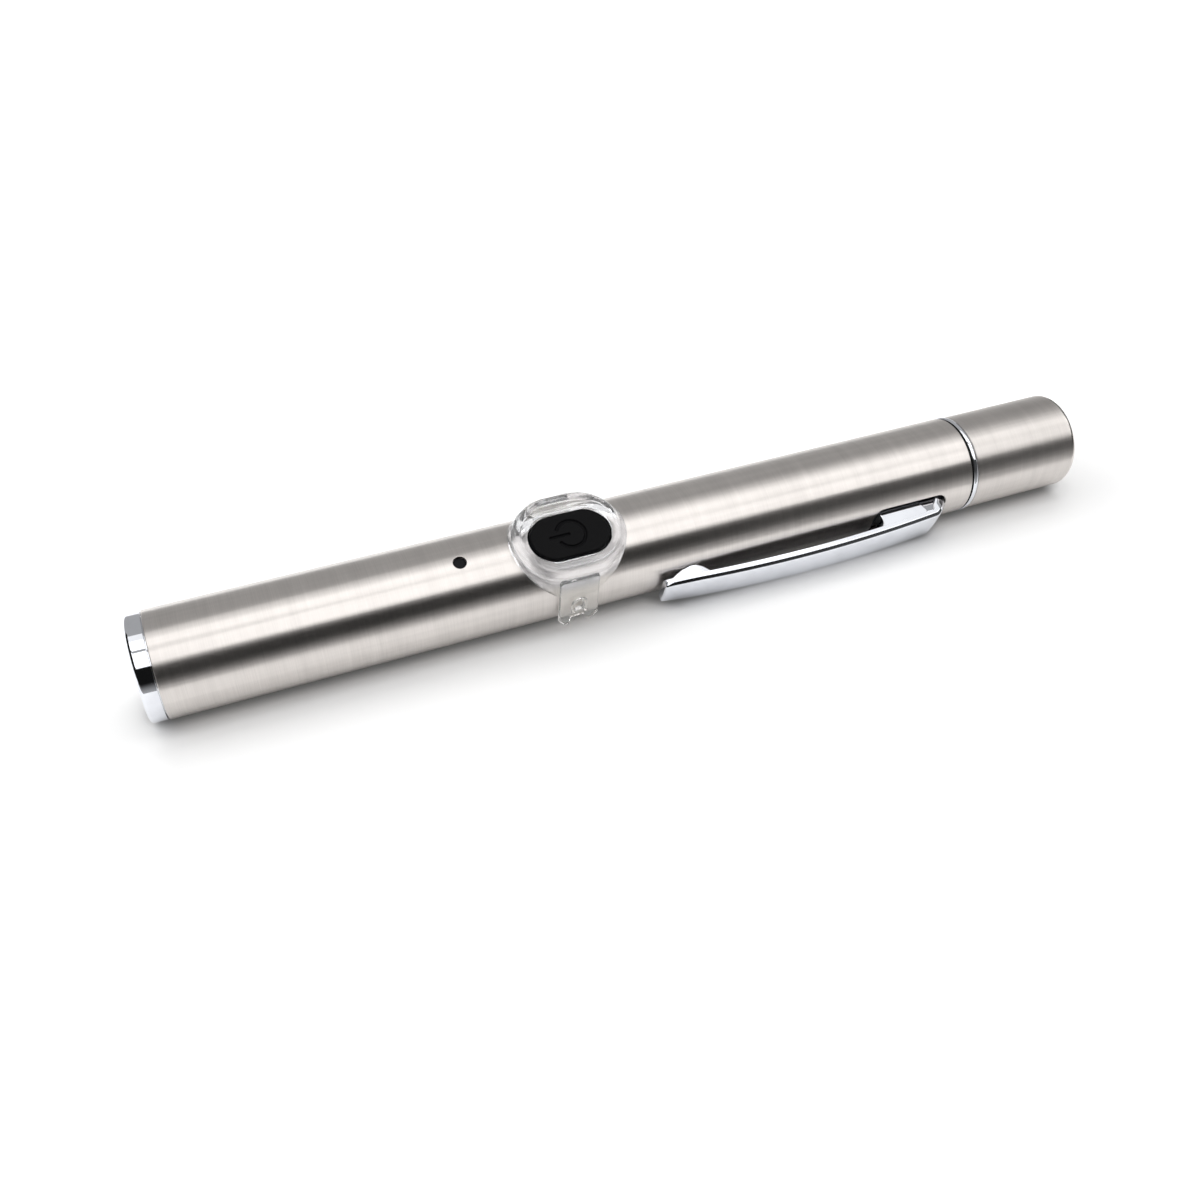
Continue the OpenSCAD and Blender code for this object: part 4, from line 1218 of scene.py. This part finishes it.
@dataclass
class ButtonGuard:
    """The clear guard round the button, a saddle with two side tabs.

    The lip's rings are (inset, height, sharp), the skirt's are (inset, height over the saddle,
    share of the way up to the rim, sharp), and the underside's are (inset, sharp).
    """

    outer: Triple = (53.4943, 15.2, 12.2)
    opening: Triple = (53.7943, 11.4, 7.2)
    depth: float = 2.5
    top: float = 8.1
    rim: float = 0.72
    rim_starts: Pair = (-0.45, 0.5)
    saddle_r: float = 7.05
    flange_t: float = 0.6
    lip_rings: tuple[tuple[float, float, bool], ...] = (
        (2.5, 7.2, True), (2.36, 7.26, False), (2.1, 7.36, False), (1.62, 7.66, False),
        (1.52, 7.76, True), (1.3, 7.8, True))
    rim_turns_deg: tuple[float, ...] = (128, 119, 110, 100, 90)
    skirt_rings: tuple[tuple[float, float, float, bool], ...] = (
        (0.13, 0.95, 0.9, True), (0.13, 0.95, 0.5, False), (0.07, 0.95, 0, False),
        (-0.06, 0.74, 0, False), (-0.2, 0.62, 0, False), (-0.34, 0.52, 0, False),
        (-0.42, 0.42, 0, False), (-0.45, 0.3, 0, False))
    under_rings: tuple[tuple[float, bool], ...] = (
        (-0.45, True), (0.3, False), (1.0, False), (1.8, False), (2.5, True))
    tab_x: float = 53.0943
    tab_t: float = 0.65
    tab_edge: float = 0.2
    tab_near: float = 7.1
    tab_lean: float = math.radians(13.0)
    tab_outline: tuple[Triple, ...] = (
        (-2.75, 4.9, 0.5), (-2.75, -2.79, 0.3), (-1.95, -3.69, 0.25), (-1.3, -3.69, 0.25),
        (-1.0, -2.39, 0.25), (0.7, -2.39, 0.25), (1.2, -3.49, 0.25), (1.85, -3.49, 0.25),
        (2.75, -2.49, 0.3), (2.75, 4.9, 0.5))
    window: tuple[Triple, ...] = (
        (-0.62, -0.99, 0.12), (-0.62, 0.91, 0.6076), (0.62, 0.91, 0.6076), (0.62, -0.99, 0.12))
    bead_r: float = 0.27
    bead_half: float = 0.86
    bead_feet: Pair = (-1.29, -0.49)
    bead_arch: float = 0.21
    bead_sides: int = 12

    def saddle(self, x: float, y: float) -> float:
        """The height of the saddle's underside over a place."""
        return math.sqrt(self.saddle_r ** 2 - y * y)

    def levels(self) -> list[Level]:
        """The guard's section.

        Returns:
            The rings from the lip outwards and down.
        """
        middle, rim = self.top - self.rim, self.rim

        def turned_up(x: float, y: float, share: float) -> float:
            """The height of the rim's outer quarter at a share of its turn.

            Args:
                x: The place along the pen.
                y: The place across it.
                share: 0 where the rim leaves the skirt, and 1 at its top.

            Returns:
                The height.
            """
            rise = (self.saddle(x, y) + self.flange_t - middle) / rim
            start = math.asin(min(max(rise, self.rim_starts[0]), self.rim_starts[1]))
            return middle + rim * math.sin(start + (math.pi / 2 - start) * share)

        def skirt(x: float, y: float, over: float, share: float) -> float:
            """The height of the skirt over a place.

            Args:
                x: The place along the pen.
                y: The place across it.
                over: The height over the saddle.
                share: How much of the way from there to the rim is added.

            Returns:
                The height.
            """
            end = turned_up(x, y, 0.0)
            low = min(self.saddle(x, y) + over, end)
            return low + (end - low) * share

        levels = [Level(inset, lambda x, y, height=height: height, sharp)
                  for inset, height, sharp in self.lip_rings]
        levels += [Level(rim * (1 - math.cos(t)), lambda x, y, t=t: middle + rim * math.sin(t))
                   for t in map(math.radians, self.rim_turns_deg)]
        levels += [Level(rim * (1 - math.cos(math.radians(8 + 8.2 * k))),
                         lambda x, y, k=k: turned_up(x, y, k / 10)) for k in range(9, -1, -1)]
        levels += [Level(inset, lambda x, y, o=over, s=share: skirt(x, y, o, s), sharp)
                   for inset, over, share, sharp in self.skirt_rings]
        return levels + [Level(inset, self.saddle, sharp) for inset, sharp in self.under_rings]

    def tab(self, skin: Skin, side: int) -> None:
        """Adds one side tab with its arched window and the raised bead round it.

        Args:
            skin: Where the faces go.
            side: 1 for the clip's side, -1 for the far side.
        """
        c, s = math.cos(self.tab_lean), math.sin(self.tab_lean)

        def place(u: float, v: float, depth: float) -> Vector:
            """Takes (along the pen, up the tab, outwards) to the piece's own axes."""
            near = self.tab_near + depth
            return own(self.tab_x + u, side * (v * s - near * c), near * s + v * c)

        plate(skin, [filleted(self.tab_outline, steps=5), filleted(self.window, steps=8)],
              (0.0, self.tab_t), self.tab_edge, place)
        half, feet = self.bead_half, self.bead_feet
        arch = [(-half * math.cos(a), self.bead_arch + half * math.sin(a))
                for a in (math.pi * k / 14 for k in range(15))]
        self.bead(skin, place, [*((-half, v) for v in feet), *arch,
                                *((half, v) for v in feet[::-1])])

    def bead(self, skin: Skin, place: Place, path: Sequence[Pair]) -> None:
        """Adds the raised round bead along a path on the tab's outer face.

        Args:
            skin: Where the faces go.
            place: Takes a point of the tab to the piece's own axes.
            path: The bead's middle line on the tab.
        """
        turns = [2 * math.pi * k / self.bead_sides for k in range(self.bead_sides)]
        rows, ways = [], []
        for i, (u, v) in enumerate(path):
            ahead = Vector(path[min(i + 1, len(path) - 1)]) - Vector(path[max(i - 1, 0)])
            across = Vector((ahead.y, -ahead.x, 0)).normalized()
            spokes = [across * math.cos(t) + Vector((0, 0, math.sin(t))) for t in turns]
            centre = Vector((u, v, self.tab_t))
            rows.append([skin.add(place(*(centre + self.bead_r * spoke))) for spoke in spokes])
            ways.append([bent(place, centre, spoke) for spoke in spokes])
        skin.bands(rows, ways)
        for end, inner in ((0, 1), (-1, -2)):
            out = Vector(path[end]) - Vector(path[inner])
            way = bent(place, (*path[end], self.tab_t), (*out, 0.0))
            skin.face(rows[end], [way] * self.bead_sides)

    def build(self) -> None:
        """Builds the guard and gives it clear plastic."""
        skin = Skin()
        Stadium(self.outer, self.opening, self.depth, 36, 8).loft(skin, self.levels())
        for side in (1, -1):
            self.tab(skin, side)
        fitted(skin.piece("clear_guard", CLEAR), "guard", "clear_plastic", "button_guard")


@dataclass
class PocketClip:
    """The bowed clip strip with its bump, its root block and its end tab.

    Outlines are drawn from the side as (distance from the tip, height over the barrel, rounding).
    """

    tip_x: float = 65.1
    barrel_r: float = 7.0
    length: float = 45.0
    tip_half: float = 2.3
    bump_half: float = 2.65
    root_half: float = 2.95
    bump_s: float = 4.5
    rise: float = 2.9
    crest: float = 23.0
    bow: float = 225.0
    thick: float = 1.2
    edge: float = 0.55
    crown: float = 0.16
    corner: float = 1.6
    tip_corner: float = 0.45
    inset: float = 0.08
    facet: Pair = (0.3, math.radians(33.75))
    rest_gap: float = 0.06
    rest_end: float = 30.0
    least_share: float = 0.25
    knee: tuple[Triple, ...] = ((42.2, 0.95, 0.4), (42.6, -0.05, 0.3), (43.3, -1.0, 0.18),
                                (45.0, -1.0, 0.18), (45.0, 0.2, 0.7))
    knee_top: Pair = (42.75, 1.5)
    bump: tuple[Triple, ...] = (
        (0.3, 1.09, 0.2), (1.0, 0.7, 1.5), (1.95, 0.2, 2.0), (3.0, -0.26, 2.0),
        (4.3, -0.56, 1.2), (5.15, -0.48, 0.9), (6.0, 0.07, 1.5), (6.5, 0.65, 2.0),
        (6.9, 1.14, 1.0), (7.4, 1.39, 0.2), (7.2, 1.78, 0.18), (0.6, 1.4, 0.18))
    bump_lean: float = 0.02
    root: tuple[Triple, ...] = (
        (34.0, -1.0, 0.2), (40.8, -1.0, 0.2), (41.05, 0.0, 1.5), (41.3, 0.6, 0.6),
        (40.8, 1.6, 0.3), (32.9, 1.9, 0.18), (33.5, 1.3, 1.2), (34.0, 0.7, 1.0),
        (34.1, 0.0, 1.5))
    root_lean: float = 0.07
    web: tuple[Triple, ...] = ((40.7, -0.95, 0.2), (44.1, -0.95, 0.2), (44.1, 0.3, 0.3),
                               (42.6, 0.98, 0.5), (40.7, 0.98, 0.2))
    web_half: float = 2.68
    web_lean: float = 0.04
    heel: Triple = (45.5, -1.75, 0.85)
    tab_half: float = 1.9

    def half(self, s: float) -> float:
        """Half the strip's width.

        Args:
            s: The distance from the tip.

        Returns:
            The half width.
        """
        if s < self.bump_s:
            return self.tip_half + (self.bump_half - self.tip_half) * s / self.bump_s
        share = (s - self.bump_s) / (self.length - self.bump_s)
        return self.bump_half + (self.root_half - self.bump_half) * share

    def height(self, s: float) -> float:
        """The outer face's height over the barrel at a distance from the tip."""
        return self.rise - (s - self.crest) ** 2 / (2 * self.bow)

    def over(self, s: float, h: float, z: float) -> Vector:
        """Takes (from the tip, over the barrel, across) to the piece's own axes."""
        return own(self.tip_x + s, -(self.barrel_r + h), z)

    def strip_place(self, s: float, h: float, depth: float) -> Vector:
        """The same for the strip, whose width changes and whose outer face is crowned.

        Args:
            s: The distance from the tip.
            h: The height over the barrel.
            depth: The place across the strip, where it is widest.

        Returns:
            The point in the piece's own axes.
        """
        wide = self.half(s)
        for reach, past in ((self.corner, s - self.length + self.corner),
                            (self.tip_corner, self.tip_corner - s)):
            if past > 0:
                past = min(past, reach * 0.995)
                wide -= reach - math.sqrt(reach * reach - past * past)
        if h > 0:
            h -= self.crown * min(1.0, h / 1.5) * (depth / self.root_half) ** 2
        return self.over(s, h, depth * wide / self.root_half)

    def pad_place(self, s: float, h: float, depth: float, lean: float) -> Vector:
        """The same for the inset blocks, whose front part keeps clear of the round barrel.

        Args:
            s: The distance from the tip.
            h: The height over the barrel.
            depth: The place across the block, at the strip's greatest width.
            lean: How fast the block narrows towards the barrel.

        Returns:
            The point in the piece's own axes.
        """
        z = depth * (self.half(s) - self.inset + lean * (h - self.rise)) / self.root_half
        if s < self.rest_end:
            clear = math.sqrt(max(0.0, (self.barrel_r + self.rest_gap) ** 2 - z * z))
            h = max(h, clear - self.barrel_r + 0.02 * (h - clear + self.barrel_r))
        return self.over(s, h, z)

    def rim_share(self, s: float, h: float) -> float:
        """How much of the rim's width the outline keeps: all of it on the outer face.

        Args:
            s: The distance from the tip.
            h: The height over the barrel.

        Returns:
            The share.
        """
        up = eased((h - self.height(s) + 0.85 * self.thick) / (0.7 * self.thick))
        heel = eased((s - 44.2) / 0.6) * eased(h + 0.9)
        return self.least_share + (1 - self.least_share) * max(up * eased((s - 0.25) / 1.2), heel)

    def strip(self, skin: Skin) -> None:
        """Adds the bowed strip, whose end turns down into the slot.

        Args:
            skin: Where the faces go.
        """
        bowed = [1.2 + 1.35 * k for k in range(31)]
        outer = [(s, self.height(s), 0.0) for s in bowed if s < 42.0]
        inner = [(s, self.height(s) - self.thick, 0.0) for s in bowed if s < 41.0]
        knee_s, knee_round = self.knee_top
        corners = [(0.0, self.height(0) - self.thick, 0.18), *inner, *self.knee,
                   (knee_s, self.height(knee_s), knee_round), *outer[::-1],
                   (0.0, self.height(0), 0.3)]
        plate(skin, [softened(filleted(corners, steps=7))], (-self.root_half, self.root_half),
              self.edge, self.strip_place, spans=10, steps=8, facet=self.facet,
              share=self.rim_share)

    @staticmethod
    def block(skin: Skin, corners: Sequence[Triple], half: float, edge: float, place: Place,
              spans: int = 1) -> None:
        """Adds a block of an outline and a half width, whose rims have a radius."""
        plate(skin, [softened(filleted(corners, steps=5))], (-half, half), edge, place, spans)

    def build(self) -> None:
        """Builds the strip, the bump, the root block, the web beside it and the tab's heel."""
        skin = Skin()
        self.strip(skin)
        for corners, lean in ((self.bump, self.bump_lean), (self.root, self.root_lean)):
            self.block(skin, corners, self.root_half, 0.16,
                       lambda s, h, depth: self.pad_place(s, h, depth, lean), 14)
        top = self.web[-1][1]
        self.block(skin, self.web, self.web_half, 0.18, lambda s, h, depth:
                   self.over(s, h, depth * (1 - self.web_lean * (top - h))))
        middle_s, middle_h, radius = self.heel
        heel = [(middle_s + radius * math.cos(a), middle_h + radius * math.sin(a), 0.0)
                for a in map(math.radians, range(160, 451, 15))]
        self.block(skin, [(43.4, 0.3, 0.2), (43.75, -1.1, 0.5), *heel, (45.02, -0.88, 0.1),
                          (44.95, 0.2, 0.2)], self.tab_half, 0.2, self.over)
        fitted(skin.piece("clip_strip", CHROME), "clip", "chrome", "pocket_clip")


# ---------------------------------------------------------------- studio


class Lit(Enum):
    """What a soft box lights: everything, only polished things, or only matt things."""

    ALL = "all"
    POLISHED = "polished"
    MATT = "matt"


@dataclass(frozen=True)
class Panel:
    """A long soft box beside the pen, seen from the axis between two angles."""

    name: str
    kind: Lit
    first_deg: float
    last_deg: float
    radiance: float
    yaw_deg: float = 12.0


@dataclass
class Studio:
    """The floor, the soft boxes, the dark cards, the world and the camera.

    Lengths are metres. Steps are (strength, from, to), over the height, over the station or over
    the distance on the floor from the line under the pen.
    """

    reach: float = 0.6
    middle_x: float = 0.2
    length: float = 2.4
    card_glow: float = 0.008
    # Painted reflection: the cards' glow near the floor and towards the cap end.
    card_low: Triple = (0.45, -0.0085, 0.004)
    card_end: Triple = (0.07, 0.06, 0.13)
    floor_z: float = -0.007
    floor_half: float = 3.0
    # Painted shadow: the first tone, darker, is the floor's base colour under the pen.
    shadow_and_floor_tones: tuple[Triple, Triple] = ((0.35, 0.35, 0.35), (0.88, 0.88, 0.88))
    foot: Pair = (0.001, 0.131)
    contact: Pair = (0.0022, 0.005)
    glow: float = 0.05
    # Painted shade near the pen: the floor's glow rises with the distance from it.
    painted_light_lifts: tuple[Triple, ...] = ((0.12, 0.003, 0.0075), (0.15, 0.01, 0.03), (0.9, 0.09, 0.6))
    # Painted light: more glow on the floor past the lamp end.
    lamp_end_painted_light: Triple = (0.12, -0.005, 0.0)
    # Painted reflection: glow that only glossy rays see, in a ring near the pen.
    painted_reflection_glow: float = 0.11
    painted_reflection_ring: tuple[Pair, Pair] = ((0.0025, 0.006), (0.01, 0.025))
    clip_painted_reflection_glow: float = 0.14
    # Painted shadow: the band under the pen reaches this much further beside the clip.
    clip_shade: float = 0.003
    clip_span: tuple[Pair, Pair] = ((0.063, 0.068), (0.107, 0.112))
    clip_side: Pair = (-0.001, 0.001)
    world_level: float = 0.45
    horizon: Pair = (0.01, 0.14)
    panels: tuple[Panel, ...] = (
        Panel("key_back", Lit.MATT, 52, 84, 1.3, 0.0),
        Panel("top_back", Lit.POLISHED, 79, 92.5, 0.72),
        Panel("top_middle", Lit.ALL, 92.5, 113, 1.45),
        Panel("top_front", Lit.POLISHED, 118, 149, 1.4))
    cards: tuple[tuple[str, tuple[Triple, ...]], ...] = (
        ("front_card", ((-0.06, -0.036, -0.007), (0.2, -0.016, -0.007),
                        (0.2, -0.0206, 0.009), (-0.06, -0.053, 0.038))),
        ("cap_card", ((0.5, -0.7, -0.002), (0.5, 0.35, -0.002), (0.5, 0.35, 0.22),
                      (0.5, -0.7, 0.22))),
        ("lamp_card", ((-0.35, -0.5, -0.002), (-0.35, 0.3, -0.002), (-0.35, 0.3, 0.5),
                       (-0.35, -0.5, 0.5))))
    camera_right: Triple = (0.92830278, -0.36902206, -0.04557044)
    camera_down: Triple = (-0.24596804, -0.51754636, -0.81953980)
    camera_ahead: Triple = (0.27884346, 0.77198995, -0.57120736)
    camera_place: Triple = (0.010886106, -0.132319275, 0.090059074)
    lens_mm: float = 36.6
    sensor_mm: float = 36.0
    camera_sight: Pair = (0.01, 20.0)

    def panel(self, panel: Panel) -> None:
        """Hangs one soft box round the pen's axis.

        Args:
            panel: The soft box.
        """
        first, last, yaw = map(math.radians, (panel.first_deg, panel.last_deg, panel.yaw_deg))
        width = 2 * self.reach * math.tan((last - first) / 2)
        c, s = math.cos((first + last) / 2), math.sin((first + last) / 2)
        straight, across = math.cos(yaw), math.sin(yaw)
        lamp = bpy.data.lights.new(panel.name, "AREA")
        lamp.shape = "RECTANGLE"
        lamp.size, lamp.size_y = self.length, width
        lamp.energy = panel.radiance * math.pi * self.length * width
        hung = linked(panel.name, lamp)
        hung.matrix_world = Matrix(((straight, across, 0, self.middle_x),
                                    (-s * across, s * straight, c, self.reach * c),
                                    (c * across, -c * straight, s, self.reach * s),
                                    (0, 0, 0, 1)))
        hung.visible_diffuse = panel.kind is not Lit.POLISHED
        hung.visible_glossy = panel.kind is not Lit.MATT

    @staticmethod
    def sheet(name: str, corners: Sequence[Triple], paint: bpy.types.Material) -> bpy.types.Object:
        """Adds a flat sheet.

        Args:
            name: The sheet's name.
            corners: Its four corners.
            paint: Its material.

        Returns:
            The sheet.
        """
        mesh = bpy.data.meshes.new(name)
        mesh.from_pydata(corners, [], [(0, 1, 2, 3)])
        mesh.materials.append(paint)
        return linked(name, mesh)

    def stand_cards(self) -> None:
        """Stands dark cards in front of the pen and at its ends, which only metal shows."""
        black = bpy.data.materials.new("card_black")
        graph = Graph(black)
        x, _, up = graph.split(graph.place())
        low, *low_span = self.card_low
        end, *end_span = self.card_end
        # Painted reflection: the cards glow near the floor and towards the cap end.
        glow = low * (1.0 - graph.step(up, *low_span)) + end * graph.step(x, *end_span)
        graph.principled({
            "Base Color": (0, 0, 0), "Roughness": 1.0, "Specular IOR Level": 0.0,
            "Emission Color": glow + self.card_glow, "Emission Strength": 1.0})
        for name, corners in self.cards:
            card = self.sheet(name, corners, black)
            card.visible_camera = card.visible_diffuse = card.visible_shadow = False
            card.visible_transmission = False

    def floor(self) -> None:
        """Lays the pale floor, brighter than its light makes it, with painted shade by the pen."""
        pale = bpy.data.materials.new("floor_pale_painted_shade")
        graph = Graph(pale)
        x, y, _ = graph.split(graph.place())
        start, end = self.foot
        along = x - start
        beyond = along - (along * (1 / (end - start))).limit() * (end - start)
        # Painted shadow and glow reach further out beside the clip, on its side.
        by_clip = graph.hill(x, *self.clip_span) * (1.0 - graph.step(y, *self.clip_side))
        aside = graph.value("ABSOLUTE", y) - self.clip_shade * by_clip
        far = graph.value("SQRT", beyond * beyond + aside * aside)
        # Painted reflection: glow that only the metal sees, near the pen and under the clip.
        glow = (graph.ray("Is Glossy Ray") * (self.painted_reflection_glow + self.clip_painted_reflection_glow * by_clip)
                * graph.hill(far, *self.painted_reflection_ring) + self.glow)
        # Painted shade: less glow near the pen, rising to white far off.
        for strength, near, away in self.painted_light_lifts:
            glow += strength * graph.step(far, near, away)
        # Painted light: more glow on the floor past the lamp end, which lightens its shadow.
        strength, *span = self.lamp_end_painted_light
        glow += strength * (1.0 - graph.step(x, *span))
        seen = graph.ray("Is Camera Ray", "Is Glossy Ray", "Is Transmission Ray")
        graph.principled({
            # Painted contact shadow: a darker base colour in a narrow band under the pen.
            "Base Color": graph.mix(graph.step(far, *self.contact), *self.shadow_and_floor_tones),
            "Roughness": 0.6, "Specular IOR Level": 0.2,
            "Emission Color": seen * glow, "Emission Strength": 1.0})
        corners = [(a * self.floor_half, b * self.floor_half, self.floor_z)
                   for a, b in ((-1, -1), (1, -1), (1, 1), (-1, 1))]
        self.sheet("floor", corners, pale)

    def world(self) -> None:
        """Fills the room with an even light, and shows the camera a white background."""
        room = bpy.data.worlds.new("room")
        bpy.context.scene.world = room
        graph = Graph(room)
        up = graph.split(graph.read("ShaderNodeTexCoord", "Generated"))[2]
        seen = graph.ray("Is Camera Ray", "Is Transmission Ray")
        pale = graph.mix(graph.step(up, *self.horizon) * (1.0 - seen), (1, 1, 1),
                         (self.world_level,) * 3)
        graph.output("World", "ShaderNodeBackground", {"Color": pale})

    def camera(self) -> None:
        """Places the camera where the photograph was taken from."""
        lens = bpy.data.cameras.new("photo_camera")
        lens.sensor_width, lens.lens = self.sensor_mm, self.lens_mm
        lens.clip_start, lens.clip_end = self.camera_sight
        stood = linked("photo_camera", lens)
        rows = [(right, -down, -ahead, place) for right, down, ahead, place in
                zip(self.camera_right, self.camera_down, self.camera_ahead, self.camera_place)]
        stood.matrix_world = Matrix((*rows, (0, 0, 0, 1)))
        bpy.context.scene.camera = stood

    def build(self) -> None:
        """Sets up the whole studio."""
        self.camera()
        self.world()
        self.floor()
        self.stand_cards()
        for panel in self.panels:
            self.panel(panel)
        bpy.context.scene.view_settings.view_transform = "Standard"


# ---------------------------------------------------------------- the whole pen


def dress_carried(nodes: dict[str, bpy.types.Object]) -> None:
    """Gives every CAD node that stays its finish.

    Args:
        nodes: The CAD nodes by name.
    """
    for name, finish in CARRIED.items():
        materials = nodes[name].data.materials
        if not materials:
            materials.append(None)
        for i in range(len(materials)):
            materials[i] = finish.material()
        LOG.info("node %s keeps its shape, finish %s", name, finish.name)


def main() -> None:
    """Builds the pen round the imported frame."""
    logging.basicConfig(level=logging.INFO, format="%(name)s: %(message)s")
    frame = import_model()
    Studio().build()
    dress_carried(frame["nodes"])
    for assembly in (Barrel(), TurnedPieces(), Button(), ButtonGuard(), PocketClip()):
        assembly.build()


if __name__ == "__main__":
    main()
